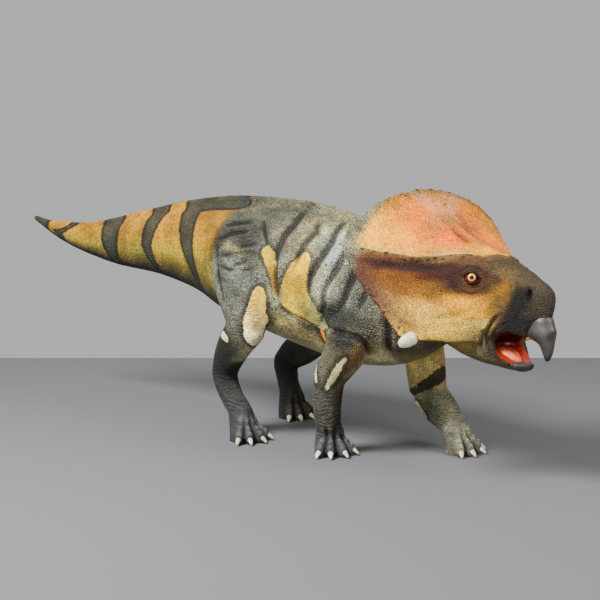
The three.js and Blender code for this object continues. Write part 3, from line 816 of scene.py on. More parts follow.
def paintHead(head, outward):               # outward: how much each place faces away from the frill's centre
    side = sideOfHead(head)
    order = np.array(shelfLine)[::-1]
    shelfX, shelfZ = (np.interp(side[:, 1], order[:, 1], order[:, axis]) for axis in (0, 2))
    aboveShelf = 0.7 * (side[:, 2] - shelfZ) - 0.7 * (side[:, 0] - shelfX)
    face = airbrush(side, paintColour(*headPaint["base"]), headPaint["strokes"])
    frill = airbrush(side, paintColour(*headPaint["frill"]), headPaint["frillStrokes"])
    rim = lineDistance(side, frillRim)[0]
    frill = mix(frill, paintColour(*headPaint["frillBack"]), soft(-outward, -0.1, 0.3)[:, None])
    byRim = headPaint["rimStrength"] * (1 - soft(rim, *headPaint["rimWidth"]))
    frill = mix(frill, paintColour(*headPaint["frillRim"]), byRim[:, None])
    return mix(face, frill, soft(aboveShelf, -2.5, 2.5)[:, None]), aboveShelf, rim


def mouthMask(head, normals):               # the lining behind the lips
    inside = (head[:, 0] > mouth["back"]) & (head[:, 0] < mouth["front"])
    inside &= (head[:, 2] > mouth["low"]) & (head[:, 2] < mouth["high"])
    slots = np.clip(((head[:, 0] - mouth["back"]) / mouth["step"]).astype(int), 0, 35)
    wide = np.zeros(36)
    np.maximum.at(wide, slots[inside], np.abs(head[inside, 1]))
    middles = mouth["back"] + mouth["step"] * (0.5 + np.arange(36))
    lipAt = np.interp(head[:, 0], middles, wide)
    facesAside = normals[:, 1] * np.sign(head[:, 1]) > 0.3
    facesDown = (head[:, 2] < -196) & (normals[:, 2] < 0.1)
    facesAhead = (normals[:, 0] > 0.75) & ((head[:, 0] > 350) | (np.abs(head[:, 1]) > 42))
    behindLip = np.abs(head[:, 1]) < lipAt - mouth["lip"]
    return (inside & behindLip & ~facesAside & ~facesDown & ~facesAhead).astype(float)


def lidMask(head):                          # 1 in the red of the eye's corners, and the distance past the lid
    red = np.zeros(len(head))
    ring = np.full(len(head), 60.0)
    for side in (-1, 1):
        out, around, edge = eyeFrame(head, side)
        close = (around < eye["lidReach"]) & (out > -eye["lidBehind"])
        red = np.maximum(red, close * (1 - soft(edge, 0.5, 2.5)))
        ring = np.where(close, np.minimum(ring, edge), ring)
    return red, ring


def spread(piece, values, rounds):          # evens values out over neighbouring places
    edges = np.empty(len(piece.data.edges) * 2, np.int32)
    piece.data.edges.foreach_get("vertices", edges)
    first, second = edges.reshape(-1, 2).T
    counts = np.bincount(edges, minlength=len(values))
    for step in range(rounds):
        total = np.bincount(first, values[second], len(values))
        total += np.bincount(second, values[first], len(values))
        values = 0.4 * values + 0.6 * total / np.maximum(counts, 1)
    return values


def markFields(body):                       # how far inside a pale mark, its colour, and inside a dark mark
    sides = {0: sideOfBody(body), 1: body, -1: body}
    pale = np.full(len(body), -60.0)
    dark = np.full(len(body), -60.0)
    colours = np.tile(paintColour(200, 190, 150), (len(body), 1))
    for line, widths, (first, last), which in paleMarks:
        depth, along = stripMark(sides[which], line, widths)
        closer = depth > pale
        pale[closer] = depth[closer]
        colours[closer] = mix(paintColour(*first), paintColour(*last), along[closer, None])
    for line, widths, which in darkMarks:
        dark = np.maximum(dark, stripMark(sides[which], line, widths)[0])
    return pale, colours, dark


def spotField(head, aboveShelf, rim, onSkull, onHead):        # under the shelf and by rim, eye and cheek
    side = sideOfHead(head)
    below = bump(aboveShelf, -10, 8) * onSkull * (side[:, 1] > 70)
    byEye = bump(awayFrom(side, eye["at"]), 60, 26) * onSkull * 0.5 * (head[:, 2] > 0)
    byCheek = bump(awayFrom(side, skull["cheek"]), 0, 70) * 0.5 * onHead
    return np.clip(below + bump(rim, 0, 16) * onSkull + byEye + byCheek, 0, 1)


def creaseField(body, onHead):              # where level creases show, darkened in the paint: painted shade in the creases
    side = sideOfBody(body)
    creases = np.zeros(len(body))
    for line, radius in creaseLines:
        creases = np.maximum(creases, 1 - soft(lineDistance(body, line)[0], radius * 0.7, radius * 1.2))
    for centre, stretch, (near, far), strength in creaseBalls:
        away = np.linalg.norm((side - np.array(centre)) / np.array(stretch), axis=1)
        creases = creases + strength * (1 - soft(away, near, far))
    return np.clip(creases, 0, 1) * (1 - onHead)


def grooveField(body, head, onHead, valleys):                 # how deep in a fold or between two toes, where the paint is darkened: painted shade
    groove = np.clip(foldAmounts(sideOfBody(body), bodyFolds)[1] * 1.5, 0, 1) * (1 - onHead)
    faceFolds = [(line, depth, width * 1.3) for line, depth, width in headFolds if depth > 0]
    groove = np.maximum(groove, foldAmounts(sideOfHead(head), faceFolds)[1] * onHead)
    return np.maximum(groove, 0.8 * valleys)


def paintSkin(skin):
    places = getPlaces(skin)
    normals = getNormals(skin)
    body = toBody(places)
    head = toHead(places)
    height = body[:, 2]

    fromCentre = head - np.array(skull["centre"])
    reach = np.linalg.norm(fromCentre, axis=1)
    onHead = soft(reach, *skull["from"]) * (body[:, 0] > 350) * soft(height, 318, 336)
    onSkull = (onHead > 0.5) & (height > 400)
    outward = ((normals @ headTurn) * fromCentre).sum(1) / reach
    bodyColours, tail = paintBody(body, normals)
    headColours, aboveShelf, rim = paintHead(head, outward)
    colours = mix(bodyColours, headColours, onHead[:, None])
    valleys, knuckles = footRelief(body)[1:]
    # Raised knuckles painted lighter: painted highlight
    colours = colours * (1 + bodyPaint["knuckleHighlight"] * np.clip(knuckles, 0, 1))[:, None]

    pale, markColours, dark = markFields(body)
    lining = spread(skin, mouthMask(head, normals @ headTurn), 2)
    red, lidRing = lidMask(head)
    fields = {
        "band": np.where(onHead > 0.5, -60, tail),
        "mark": np.where(onHead > 0.5, -60, pale),
        "dark": dark,
        "shelf": np.where(onSkull & (np.abs(head[:, 1]) > 60), aboveShelf, -60),
        "spots": spotField(head, aboveShelf, rim, onSkull, onHead),
        "fold": grooveField(body, head, onHead, valleys),
        "rings": creaseField(body, onHead),
        "lining": lining,
        "lidRed": red,
        "lidRing": lidRing,
        "slit": 1 - soft(nostrilAway(head), 0.55, 1.1),
        "face": onHead,
        "fine": np.clip(onHead + soft(-height, -380, -280) + soft(-body[:, 0], 300, 420), 0, 1),
        "smooth": np.clip(lining + red + 0.9 * soft(-height, -4, 0), 0, 1),
    }
    for name, values in fields.items():
        setField(skin, name, values)
    for name, tones, rounds in (("basePaint", colours, 2), ("markPaint", markColours, 1)):
        setColours(skin, name, np.column_stack([spread(skin, tone, rounds) for tone in tones.T]))


# Materials

def setInputs(tree, node, inputs):          # a socket's name or number to a value, or to a socket that feeds it
    for name, value in inputs.items():
        if isinstance(value, bpy.types.NodeSocket):
            tree.links.new(value, node.inputs[name])
        else:
            node.inputs[name].default_value = value


def addNode(tree, kind, label, inputs=None, **settings):
    node = tree.nodes.new("ShaderNode" + kind)
    node.label = label
    for name, value in settings.items():
        setattr(node, name, value)
    setInputs(tree, node, inputs or {})
    return node


def maths(tree, operation, first, second=0.5, label="", clamp=False):
    return addNode(tree, "Math", label, {0: first, 1: second}, operation=operation, use_clamp=clamp).outputs[0]


def times(tree, first, second, label=""):
    return maths(tree, "MULTIPLY", first, second, label)


def plus(tree, first, second, label=""):
    return maths(tree, "ADD", first, second, label)


def minus(tree, first, second, label="", clamp=False):
    return maths(tree, "SUBTRACT", first, second, label, clamp)


def ramp(tree, value, low, high, toLow=0.0, toHigh=1.0, label=""):
    inputs = {"Value": value, "From Min": low, "From Max": high, "To Min": toLow, "To Max": toHigh}
    return addNode(tree, "MapRange", label, inputs, interpolation_type="SMOOTHSTEP").outputs["Result"]


def between(tree, value, rise, fall, label=""):               # up over one range and down over another
    return times(tree, ramp(tree, value, *rise), ramp(tree, value, *fall, 1.0, 0.0), label)


def blend(tree, share, first, second, label="", kind="MIX"):
    inputs = {0: share, 6: first, 7: second}
    return addNode(tree, "Mix", label, inputs, data_type="RGBA", blend_type=kind).outputs[2]


def blendValue(tree, share, first, second, label=""):
    return addNode(tree, "Mix", label, {0: share, 2: first, 3: second}, data_type="FLOAT").outputs[0]


def noise(tree, place, label, scale, detail=2.0, roughness=0.5):
    inputs = {"Vector": place, "Scale": scale, "Detail": detail, "Roughness": roughness}
    return addNode(tree, "TexNoise", label, inputs).outputs["Fac"]


def relief(tree, label, height, strength, depth):
    inputs = {"Height": height, "Strength": strength, "Distance": depth}
    return addNode(tree, "Bump", label, inputs).outputs["Normal"]


def colour(red, green, blue):
    return (*paintColour(red, green, blue), 1)


def field(tree, name):
    return addNode(tree, "Attribute", name, attribute_name=name).outputs


def newGroup(name, inputs, outputs):        # each socket's name to its type
    group = bpy.data.node_groups.new(name, "ShaderNodeTree")
    for direction, sockets in (("INPUT", inputs), ("OUTPUT", outputs)):
        for label, kind in sockets.items():
            group.interface.new_socket(label, in_out=direction, socket_type="NodeSocket" + kind)
    return group, group.nodes.new("NodeGroupInput").outputs, group.nodes.new("NodeGroupOutput")


def newMaterial(name):
    material = bpy.data.materials.new(name)
    material.use_nodes = True
    tree = material.node_tree
    return material, tree, tree.nodes["Principled BSDF"], addNode(tree, "TexCoord", "place").outputs["Object"]


def makePebbleGroup():                      # scales: grooves between rounded cells, and a shade for each
    group, given, made = newGroup("pebbleHide", {"Place": "Vector", "Cell Size": "Float"},
                                  {"Groove": "Float", "Shade": "Float", "Height": "Float"})
    warp = addNode(group, "TexNoise", "uneven rows", {"Vector": given["Place"], "Scale": 45.0, "Detail": 1.0})
    sway = {0: warp.outputs["Color"], 1: (0.006, 0.006, 0.006)}
    sway = addNode(group, "VectorMath", "warp", sway, operation="MULTIPLY").outputs[0]
    place = addNode(group, "VectorMath", "warped", {0: given["Place"], 1: sway}, operation="ADD").outputs[0]
    perMetre = maths(group, "DIVIDE", 1.0, given["Cell Size"], "cells in a metre")
    cells = {"Vector": place, "Scale": perMetre, "Randomness": 0.9}
    edge = addNode(group, "TexVoronoi", "cell edges", cells, feature="DISTANCE_TO_EDGE").outputs["Distance"]
    cell = addNode(group, "TexVoronoi", "cell shade", cells, feature="F1").outputs["Color"]
    shade = addNode(group, "SeparateColor", "shade", {"Color": cell}).outputs["Red"]
    setInputs(group, made, {"Groove": ramp(group, edge, 0.02, 0.15, 1.0, 0.0, "groove"), "Shade": shade,
                            "Height": ramp(group, edge, 0.0, 0.34, 0.0, 1.0, "round top")})
    return group


def makeWrinkleGroup():                     # fine level creases that wander and break
    group, given, made = newGroup("levelCreases", {"Place": "Vector", "Spacing": "Float"}, {"Crease": "Float"})
    height = addNode(group, "SeparateXYZ", "height", {0: given["Place"]}).outputs["Z"]
    sway = times(group, noise(group, given["Place"], "sway", 9.0), 0.07)
    rows = maths(group, "DIVIDE", plus(group, height, sway, "swayed height"), given["Spacing"], "rows")
    row = maths(group, "FRACT", rows, 0.0, "row")
    middle = maths(group, "ABSOLUTE", minus(group, row, 0.5), 0.0, "from the middle")
    line = ramp(group, middle, 0.06, 0.24, 1.0, 0.0, "crease line")
    kept = ramp(group, noise(group, given["Place"], "breaks", 30.0), 0.38, 0.58, 0.0, 1.0, "kept parts")
    setInputs(group, made, {"Crease": times(group, line, kept)})
    return group


def makeCloudGroup():                       # two colours in soft clouds
    group, given, made = newGroup(
        "cloudyPaint",
        {"Place": "Vector", "Scale": "Float", "Detail": "Float", "Roughness": "Float", "Top": "Float",
         "Light": "Color", "Dark": "Color"},
        {"Color": "Color", "Cloud": "Float"})
    cloud = noise(group, given["Place"], "cloud", given["Scale"], given["Detail"], given["Roughness"])
    share = ramp(group, cloud, 0.35, given["Top"], label="cloudy")
    setInputs(group, made, {"Color": blend(group, share, given["Light"], given["Dark"]), "Cloud": cloud})
    return group


pebbleGroup = makePebbleGroup()
wrinkleGroup = makeWrinkleGroup()
cloudGroup = makeCloudGroup()


def cloudy(tree, place, light, dark, scale, detail, top, roughness=0.5):
    inputs = {"Place": place, "Scale": scale, "Detail": detail, "Roughness": roughness, "Top": top,
              "Light": colour(*light), "Dark": colour(*dark)}
    made = addNode(tree, "Group", "clouds", inputs, node_tree=cloudGroup).outputs
    return made["Color"], made["Cloud"]


hide = {
    "coarse": 0.0074,                       # metres across a scale of each kind
    "fine": 0.0062,
    "grain": 0.0032,
    "creaseSpacing": 0.011,
    "ragged": 14.0,                         # millimetres that the edges of marks wander
    "grooveShade": 0.34,                     # painted shade: how dark the paint goes in the grooves between scales; painted highlight: how light on the scale tops
    # painted shade in the folds and between the toes
    "foldShade": 0.3,
    # painted shade in the fine level creases
    "creaseShade": 0.5,
    # painted highlight on the scale tops
    "scaleTopHighlight": 1.2,
    "saturation": 1.32,
    "gamma": 1.42,
    "specular": 0.28,
    "satin": (0.52, 0.74),
    "wet": 0.26,
    "reliefDepth": 0.0034,
    "liningFrom": (0.36, 0.40),             # metres above the floor where the mouth's lining turns darker
    "nostrilFrom": (0.532, 0.546),          # and where the nostrils' inside does
    "outline": (42, 37, 30),
    "band": (78, 82, 76),
    "shelf": (226, 214, 178),
    "spot": (44, 34, 28),
    "mouth": (104, 14, 10),
    "membrane": (190, 82, 34),
    "nostril": (74, 16, 20),
    "lid": (120, 30, 22),
    "black": (20, 17, 15),
    "cool": (0.70, 0.80, 0.92, 1),          # what the cooler parts are multiplied by
}


def layMarks(tree, place, fields, paint):   # tail bands, pale and dark marks and the frill's pale shelf
    ragged = minus(tree, noise(tree, place, "ragged edges", 70.0, 3.0), 0.5)
    ragged = times(tree, ragged, hide["ragged"], "ragged by mm")
    band, mark, dark = (plus(tree, fields[name], ragged, name) for name in ("band", "mark", "dark"))
    shelf = plus(tree, fields["shelf"], times(tree, ragged, 0.5), "shelf")
    inMark = ramp(tree, mark, -1.0, 3.0, label="in a pale mark")
    outline = colour(*hide["outline"])
    layers = [
        ("tail bands", ramp(tree, band, -1.5, 2.0), 0.94, colour(*hide["band"])),
        ("band edge", between(tree, band, (-7.0, 0.0), (2.0, 16.0)), 0.72, outline),
        ("pale marks", inMark, 0.92, field(tree, "markPaint")["Color"]),
        ("mark edge", between(tree, mark, (-20.0, -3.0), (-2.0, 2.5)), 0.55, outline),
        ("dark marks", ramp(tree, dark, -3.0, 2.0), 0.82, outline),
        ("pale shelf", between(tree, shelf, (-6.0, -1.0), (4.0, 12.0)), 0.5, colour(*hide["shelf"])),
    ]
    for label, where, strength, tone in layers:
        paint = blend(tree, times(tree, where, strength), paint, tone, label)
    return paint, inMark


def layPebbles(tree, place, fields, inMark):                  # their height and grooves, and a shade for each
    coarse, fine, grain = (addNode(tree, "Group", size, {"Place": place, "Cell Size": hide[size]},
                                   node_tree=pebbleGroup).outputs for size in ("coarse", "fine", "grain"))
    height = plus(tree, times(tree, coarse["Height"], 0.6), times(tree, fine["Height"], 0.4), "body pebbles")
    groove = maths(tree, "MAXIMUM", coarse["Groove"], times(tree, fine["Groove"], 0.5))
    fineHeight = plus(tree, times(tree, fine["Height"], 0.55), times(tree, grain["Height"], 0.3))
    fineGroove = maths(tree, "MAXIMUM", times(tree, fine["Groove"], 0.74), times(tree, grain["Groove"], 0.35))
    height = blendValue(tree, fields["fine"], height, fineHeight, "height")
    groove = blendValue(tree, fields["fine"], groove, fineGroove, "groove")
    pebbled = minus(tree, 1.0, fields["smooth"], "pebbled part", clamp=True)
    groove = times(tree, groove, pebbled)
    groove = times(tree, groove, ramp(tree, inMark, 0.0, 1.0, 1.0, 0.3, "calmer in pale marks"))
    shade = ramp(tree, coarse["Shade"], 0.0, 1.0, 0.84, 1.14, "cell shade")
    shade = blendValue(tree, fields["fine"], shade, ramp(tree, fine["Shade"], 0.0, 1.0, 0.9, 1.1), "shade")
    return times(tree, height, pebbled, "pebble height"), groove, shade


def layTone(tree, place, fields, paint, tones):               # tones multiplied in, among them painted shade in grooves, creases and folds and painted highlight on scale tops, then cooler parts
    tone = tones[0]
    for value in tones[1:]:
        tone = times(tree, tone, value)
    cool = ramp(tree, noise(tree, place, "cool parts", 7.0, 3.0, 0.6), 0.46, 0.68, 0.0, 0.55, "cool parts")
    cool = times(tree, cool, minus(tree, 1.0, fields["face"]))
    paint = blend(tree, cool, paint, hide["cool"], "cool grey", "MULTIPLY")
    grey = addNode(tree, "CombineXYZ", "tone", {0: tone, 1: tone, 2: tone}).outputs[0]
    return blend(tree, 1.0, paint, grey, "toned", "MULTIPLY")


def layOpenings(tree, place, fields, paint):                  # dark spots, lining, lids and nostrils
    cells = addNode(tree, "TexVoronoi", "spots", {"Vector": place, "Scale": 62.0, "Randomness": 1.0})
    spot = ramp(tree, cells.outputs["Distance"], 0.26, 0.42, 1.0, 0.0, "spot")
    spot = times(tree, spot, ramp(tree, fields["spots"], 0.25, 0.8, label="where spotted"))
    height = addNode(tree, "SeparateXYZ", "height", {0: place}).outputs["Z"]
    lining = blend(tree, ramp(tree, height, *hide["liningFrom"]), colour(*hide["membrane"]),
                   colour(*hide["mouth"]), "lining colours")
    nostrils = blend(tree, ramp(tree, height, *hide["nostrilFrom"]), colour(*hide["nostril"]),
                     colour(*hide["black"]), "nostril inside")
    ring = times(tree, ramp(tree, fields["lidRing"], 5.0, 9.0, 1.0, 0.0), 0.8, "lid ring")
    layers = [
        ("dark spots", times(tree, spot, 0.7), colour(*hide["spot"])),
        ("mouth lining", fields["lining"], lining),
        ("black lid ring", ring, colour(*hide["black"])),
        ("red lids", fields["lidRed"], colour(*hide["lid"])),
        ("nostril", fields["slit"], nostrils),
    ]
    for label, where, tone in layers:
        paint = blend(tree, where, paint, tone, label)
    return paint


def makeSkinMaterial():
    material, tree, shader, place = newMaterial("paintedHide")
    names = ("band", "mark", "dark", "fold", "lining", "lidRed", "lidRing", "slit", "rings", "fine", "smooth",
             "spots", "shelf", "face")
    fields = {name: field(tree, name)["Fac"] for name in names}
    paint, inMark = layMarks(tree, place, fields, field(tree, "basePaint")["Color"])
    height, groove, shade = layPebbles(tree, place, fields, inMark)
    broad = noise(tree, place, "broad mottle", 11.0, 4.0, 0.6)
    speckle = noise(tree, place, "speckle", 85.0, 3.0, 0.65)
    mottle = blendValue(tree, fields["face"], ramp(tree, broad, 0.32, 0.68, 0.66, 1.22),
                        ramp(tree, broad, 0.32, 0.68, 0.84, 1.12), "mottle")
    creases = addNode(tree, "Group", "creases", {"Place": place, "Spacing": hide["creaseSpacing"]},
                      node_tree=wrinkleGroup).outputs["Crease"]
    crease = times(tree, creases, fields["rings"], "crease")
    tones = [
        mottle,
        ramp(tree, speckle, 0.25, 0.75, 0.86, 1.14, "speckle"),
        shade,
        # Painted shade in the grooves between scales and painted highlight on the scale tops
        ramp(tree, groove, 0.0, 1.0, hide["scaleTopHighlight"], hide["grooveShade"], "painted groove shade and top highlight"),
        ramp(tree, inMark, 0.0, 1.0, 1.0, 1.12, "lighter in pale marks"),
        # Painted shade in the fine level creases
        ramp(tree, crease, 0.0, 1.0, 1.0, hide["creaseShade"], "painted crease shade"),
        # Painted shade in the folds and between the toes
        ramp(tree, fields["fold"], 0.05, 0.95, 1.0, hide["foldShade"], "painted fold shade"),
    ]
    paint = layOpenings(tree, place, fields, layTone(tree, place, fields, paint, tones))
    richer = {"Saturation": hide["saturation"], "Color": paint}
    paint = addNode(tree, "HueSaturation", "richer", richer).outputs["Color"]
    paint = addNode(tree, "Gamma", "deeper", {"Gamma": hide["gamma"], "Color": paint}).outputs["Color"]

    rough = ramp(tree, speckle, 0.3, 0.7, *hide["satin"], "satin")
    rough = plus(tree, rough, times(tree, groove, 0.14))
    wet = maths(tree, "MAXIMUM", fields["lining"], fields["lidRed"])
    height = minus(tree, height, times(tree, crease, 0.55))
    height = plus(tree, height, times(tree, speckle, 0.22))
    setInputs(tree, shader, {
        "Base Color": paint,
        "Roughness": blendValue(tree, wet, rough, hide["wet"], "wet parts"),
        "Specular IOR Level": hide["specular"],
        "Normal": relief(tree, "hide relief", height, 0.9, hide["reliefDepth"]),
    })
    return material


greyHorn = {"light": (62, 56, 51), "dark": (30, 27, 25), "roughness": 0.5, "lines": 0.9}
creamHorn = {"light": (226, 216, 192), "dark": (176, 160, 128), "roughness": 0.36, "lines": 0.8}


def makeHornMaterial(name, horn):           # smooth horn with growth lines
    material, tree, shader, place = newMaterial(name)
    paint, cloud = cloudy(tree, place, horn["light"], horn["dark"], 26.0, 4.0, 0.7)
    sway = noise(tree, place, "sway", 60.0, 3.0)
    rows = plus(tree, times(tree, field(tree, "growth")["Fac"], horn["lines"]), times(tree, sway, 5.0))
    lines = maths(tree, "SINE", rows, 0.0, "growth lines")
    line = times(tree, ramp(tree, lines, 0.2, 1.0), 0.15, "line")
    paint = blend(tree, line, paint, colour(*horn["dark"]), "lines")
    # the colour of the dark edges and of the painted shade at the roots
    deep = colour(*[part * 0.45 for part in horn["dark"]])
    height = plus(tree, times(tree, lines, 0.12), times(tree, sway, 0.5))
    gloss = (horn["roughness"] - 0.05, horn["roughness"] + 0.09)
    setInputs(tree, shader, {
        "Base Color": blend(tree, field(tree, "darkEdgeAndShade")["Fac"], paint, deep, "dark edges and painted shade"),
        "Roughness": ramp(tree, cloud, 0.3, 0.7, *gloss, "gloss"),
        "Normal": relief(tree, "growth relief", height, 0.4, 0.0006),
    })
    return material


def makeTongueMaterial():
    material, tree, shader, place = newMaterial("wetTongue")
    paint, cloud = cloudy(tree, place, (208, 84, 52), (234, 116, 82), 40.0, 3.0, 0.68)
    buds = addNode(tree, "TexVoronoi", "buds", {"Vector": place, "Scale": 420.0}).outputs["Distance"]
    root = field(tree, "darkEdgeAndShade")["Fac"]
    setInputs(tree, shader, {
        "Base Color": blend(tree, root, paint, colour(150, 40, 26), "painted shade in groove and at root"),
        "Roughness": ramp(tree, buds, 0.0, 0.6, 0.34, 0.5, "wet"),
        "Normal": relief(tree, "buds", buds, 0.3, 0.0006),
    })
    return material


def makeEyeMaterial():                      # rings of paint round the pupil
    material, tree, shader, place = newMaterial("castEye")
    away = field(tree, "pupilAway")["Fac"]            # millimetres from the pupil's middle
    paint, flecks = cloudy(tree, place, (246, 206, 84), (226, 160, 46), 260.0, 4.0, 0.65, 0.7)
    layers = [
        ("iris rim", (5.5, 10.5), (226, 150, 70)),
        ("black ring", (10.2, 11.4), (24, 14, 10)),
        ("red corner", (13.2, 15.0), (96, 26, 16)),
    ]
    for label, (start, end), tone in layers:
        paint = blend(tree, ramp(tree, away, start, end), paint, colour(*tone), label)
    pupil = ramp(tree, away, 5.8, 6.6, 1.0, 0.0)
    setInputs(tree, shader, {
        "Base Color": blend(tree, pupil, paint, colour(4, 3, 3), "pupil"),
        "Roughness": ramp(tree, flecks, 0.2, 0.8, 0.06, 0.1, "gloss"),
        "Coat Weight": 0.3,
        "Coat Roughness": 0.03,
        "Specular IOR Level": 0.3,
    })
    return material


paintSkin(skin)
skin.data.materials.append(makeSkinMaterial())
print("skin painted")


# The hard pieces: beaks, tongue, cheek horns, eyes and claws

def coverNode(name, node, form, filler=None):         # one smooth piece over a copy of a CAD node
    piece = copyNodes(name, [node])
    if filler:
        addBall(piece, *filler)
    swell(piece, form["grow"])
    finishWith(piece, "REMESH", mode="VOXEL", voxel_size=form["voxel"])
    finishWith(piece, "SMOOTH", factor=0.5, iterations=form["rounds"])
    settle(piece, [node])
    return piece


def finishHorn(piece, head, growth, dark, material):  # new head places, growth along the piece and dark parts: darker paint at edges and painted shade at roots and in grooves
    setPlaces(piece, fromHead(head))
    setField(piece, "growth", growth)
    setField(piece, "darkEdgeAndShade", np.clip(dark, 0, 1))
    piece.data.materials.append(material)


beak = {
    "slot": "painted_beak",
    "voxel": 0.0022,
    "grow": 0.0016,
    "rounds": 12,
    "tip": (433, 0, -196),
    "jawTip": (374, 0, -213),
    "root": ((406, 0, -96), (33, 28, 29)),            # a ball that fills the root inside the muzzle
    "keel": 1.2,
}


def makeUpperBeak(material):                # a smooth root, a keel down the front and a thin hooked edge
    piece = coverNode("upperBeak", "upper_beak", beak, beak["root"])
    relax(piece, 0.9 * soft(toHead(getPlaces(piece))[:, 2], -180, -140), 60)
    head = toHead(getPlaces(piece))
    head[:, 0] += bump(head[:, 1], 0, 7) * soft(head[:, 0], 430, 446) * beak["keel"]
    tipDark = soft(-head[:, 2], 176, 196)
    darkEdgeAndShade = soft(-head[:, 0] - 0.5 * head[:, 2], -352, -336) * 0.5
    finishHorn(piece, head, awayFrom(head, beak["tip"]), tipDark + darkEdgeAndShade, material)


def makeLowerBeak(material):
    piece = coverNode("lowerBeak", "lower_beak", beak)
    head = toHead(getPlaces(piece))
    finishHorn(piece, head, awayFrom(head, beak["jawTip"]), soft(head[:, 2], -212, -204) * 0.8, material)


tongue = {"slot": "painted_mouth", "voxel": 0.002, "grow": 0.0006, "rounds": 16, "valley": 3.5}


def makeTongue():
    piece = coverNode("tongue", "tongue", tongue)
    head = toHead(getPlaces(piece))
    valley = bump(head[:, 1], 0, 5) * soft(head[:, 2], -200, -180)
    head[:, 2] -= tongue["valley"] * valley
    setPlaces(piece, fromHead(head))
    # Darker in its middle groove and at its back inside the mouth: painted shade
    setField(piece, "darkEdgeAndShade", np.clip(0.5 * valley + soft(-head[:, 0], -262, -246), 0, 1))
    piece.data.materials.append(makeTongueMaterial())


cheekHorn = {
    "slot": "painted_horn",
    "voxel": 0.0024,
    "grow": 0.0008,
    "rounds": 12,
    "way": (-0.1, 0.9, -0.42),              # which way it grows
    "shorter": 0.16,
    "rootBehind": 22,                       # millimetres from its middle back to its root
    "ripple": 0.0006,
}


def makeCheekHorns(material):
    for hand, side in (("right", -1), ("left", 1)):
        piece = coverNode(hand + "CheekHorn", hand + "_cheek_horn", cheekHorn)
        head = toHead(getPlaces(piece))
        way = unit(cheekHorn["way"], side)
        growth = (head - head.mean(0)) @ way
        head -= way * (cheekHorn["shorter"] * (growth + cheekHorn["rootBehind"]))[:, None]
        # Darker at the root, where the horn meets the skin: painted shade
        finishHorn(piece, head, growth, 0.6 * soft(-growth, 14, 26), material)
        ripple = cheekHorn["ripple"] * np.sin(growth * 0.8)
        setPlaces(piece, getPlaces(piece) + getNormals(piece) * ripple[:, None])


def makeEyes():
    material = makeEyeMaterial()
    for hand, side in (("right", -1), ("left", 1)):
        bpy.ops.mesh.primitive_uv_sphere_add(segments=56, ring_count=36, radius=eye["radius"] / 1000)
        piece = bpy.context.object
        piece.name = hand + "Eye"
        look = unit(eye["look"], side)
        places = getPlaces(piece) * 1000
        along = places @ look
        away = np.linalg.norm(places - along[:, None] * look, axis=1)
        away = np.where(along > 0, away, 40)
        places += look * (eye["cornea"] * bump(away, 0, 9))[:, None]
        setPlaces(piece, fromHead(places + np.array(eye["at"]) * (1, side, 1)))
        setField(piece, "pupilAway", away)
        piece.data.materials.append(material)
        settle(piece, [hand + "_eye"])


claw = {                                    # along the toe, height, half width, half height
    "sections": [(62, 17, 5, 5), (67, 18, 7.5, 7.5), (74, 18, 8.6, 8.6), (81, 15.5, 7.6, 7.8),
                 (87, 11.5, 5.8, 6), (91.5, 7.5, 3.8, 4), (94, 4, 1.6, 2)],
    "segments": 20,
    "rings": 22,
    "flat": 0.8,                            # how far the underside is flattened
}


def modelClaw():                            # one claw along +x, its root at the toe
    bpy.ops.object.select_all(action="DESELECT")
    bpy.ops.mesh.primitive_uv_sphere_add(segments=claw["segments"], ring_count=claw["rings"], radius=1)
    piece = bpy.context.object
    bpy.ops.object.mode_set(mode="EDIT")
    bpy.ops.mesh.select_all(action="SELECT")
    bpy.ops.transform.rotate(value=math.pi / 2, orient_axis="Y", center_override=(0, 0, 0))
    bpy.ops.object.mode_set(mode="OBJECT")
    ball = getPlaces(piece)
    share = np.arccos(np.clip(-ball[:, 0], -1, 1)) / math.pi
    rows = np.array(claw["sections"], float)
    steps = np.linspace(0, 1, len(rows))
    along, height, wide, tall = (np.interp(share, steps, rows[:, i]) for i in range(4))
    girth = np.maximum(np.hypot(ball[:, 1], ball[:, 2]), 1e-6)
    full = np.minimum(girth * 2.6, 1)
    y = ball[:, 1] / girth * full * wide
    z = ball[:, 2] / girth * full * tall
    z = np.where(z < 0, z * claw["flat"], z)
    y *= 1 - 0.3 * soft(z, 2, 10)
    setPlaces(piece, np.column_stack([along, y, height + z]))
    finishWith(piece, "SUBSURF", levels=1)
    return piece


def makeClaws(material):
    model = modelClaw()
    for name, foot in feet.items():
        parts = []
        for turn in toe["turns"]:
            part = copyMesh(name, model.data)
            along, across, height = getPlaces(part).T
            angle = math.radians(foot["heading"] + turn)
            x = foot["at"][0] + along * math.cos(angle) - across * math.sin(angle)
            y = foot["at"][1] + along * math.sin(angle) + across * math.cos(angle)
            setField(part, "growth", along)
            # Darker at the root, where the claw meets the toe: painted shade
            setField(part, "darkEdgeAndShade", 0.5 * (1 - soft(along, 70, 76)))
            setPlaces(part, fromBody(np.column_stack([x, y, np.maximum(height, 0.4)])))
            parts.append(part)
        piece = joinAll(parts)
        piece.name = name + "Claws"
        piece.data.materials.clear()
        piece.data.materials.append(material)
        settle(piece)
    bpy.data.objects.remove(model)


greyMaterial = makeHornMaterial("greyHorn", greyHorn)
makeUpperBeak(greyMaterial)
makeLowerBeak(greyMaterial)
creamMaterial = makeHornMaterial("creamHorn", creamHorn)
makeTongue()
makeCheekHorns(creamMaterial)
makeEyes()
makeClaws(creamMaterial)
print("hard pieces made")


# Floor, light and camera

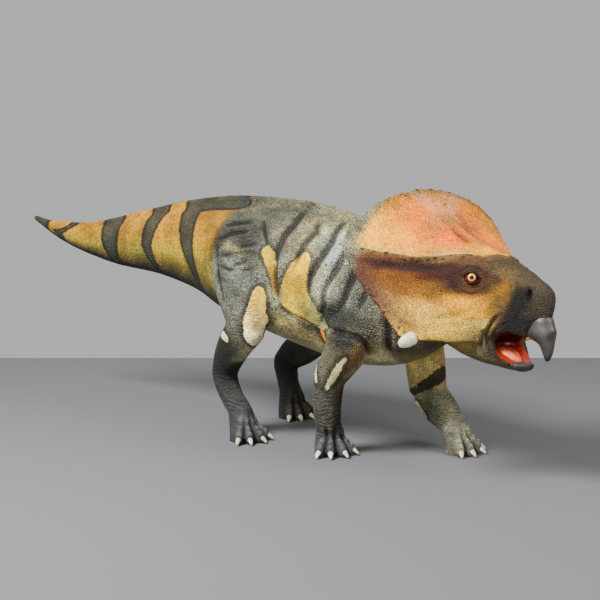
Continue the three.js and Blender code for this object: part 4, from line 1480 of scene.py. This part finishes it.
studio = {
    "floor": (0.115, 0.117, 0.121),
    "floorStart": -2.0,                     # metres ahead of the camera
    "floorEnd": 5.64,
    "floorSide": 7.0,
    "air": (0.54, 0.535, 0.54),
    "lights": [                             # place, aim, size and power
        ("keyLight", (-0.2, -2.4, 3.1), (0.1, 0, 0.4), 1.2, 390),
        ("fillLight", (3.2, 0.2, 2.4), (0.5, 0, 0.4), 1.2, 90),
        ("lowLight", (2.2, -3.4, 0.9), (0.3, 0, 0.35), 1.4, 40),
    ],
    "camera": (2680.3, -3198.4, 1000),      # a body place
    "forward": (-0.6561, 0.7547),
    "tiltDown": 7.586,
    "focal": 80.64,
}


def makeFloor():                            # a floor that ends behind the statue, as in the photo
    ahead = Vector((*studio["forward"], 0)).normalized()
    right = Vector((ahead.y, -ahead.x, 0))
    start = Vector(fromBody(studio["camera"]))
    start.z = 0
    bpy.ops.mesh.primitive_plane_add(size=2)
    floor = bpy.context.object
    floor.name = "studioFloor"
    corners = [(along, across) for along in (studio["floorStart"], studio["floorEnd"])
               for across in (-studio["floorSide"], studio["floorSide"])]
    for vertex, (along, across) in zip(floor.data.vertices, corners):
        vertex.co = start + ahead * along + right * across
    material, tree, shader = newMaterial("paleFloor")[:3]
    setInputs(tree, shader, {"Base Color": (*studio["floor"], 1), "Roughness": 0.9})
    floor.data.materials.append(material)


def addLight(name, place, aim, size, power):
    lamp = bpy.data.lights.new(name, "AREA")
    lamp.size = size
    lamp.energy = power
    holder = bpy.data.objects.new(name, lamp)
    bpy.context.scene.collection.objects.link(holder)
    holder.location = place
    holder.rotation_euler = (Vector(aim) - Vector(place)).to_track_quat("-Z", "Y").to_euler()


def makeStudio():
    makeFloor()
    world = bpy.data.worlds.new("studioAir")
    bpy.context.scene.world = world
    world.use_nodes = True
    background = {"Color": (*studio["air"], 1), "Strength": 1.0}
    setInputs(world.node_tree, world.node_tree.nodes["Background"], background)
    for light in studio["lights"]:
        addLight(*light)

    lens = bpy.data.cameras.new("viewCamera")
    lens.lens = studio["focal"]
    lens.sensor_width = 36
    viewer = bpy.data.objects.new("viewCamera", lens)
    bpy.context.scene.collection.objects.link(viewer)
    viewer.location = Vector(fromBody(studio["camera"]))
    tilt = math.radians(studio["tiltDown"])
    ahead = Vector((*studio["forward"], 0)).normalized() * math.cos(tilt)
    ahead.z = -math.sin(tilt)
    viewer.rotation_euler = ahead.to_track_quat("-Z", "Y").to_euler()
    bpy.context.scene.camera = viewer


makeStudio()
print("studio made")

print("done")
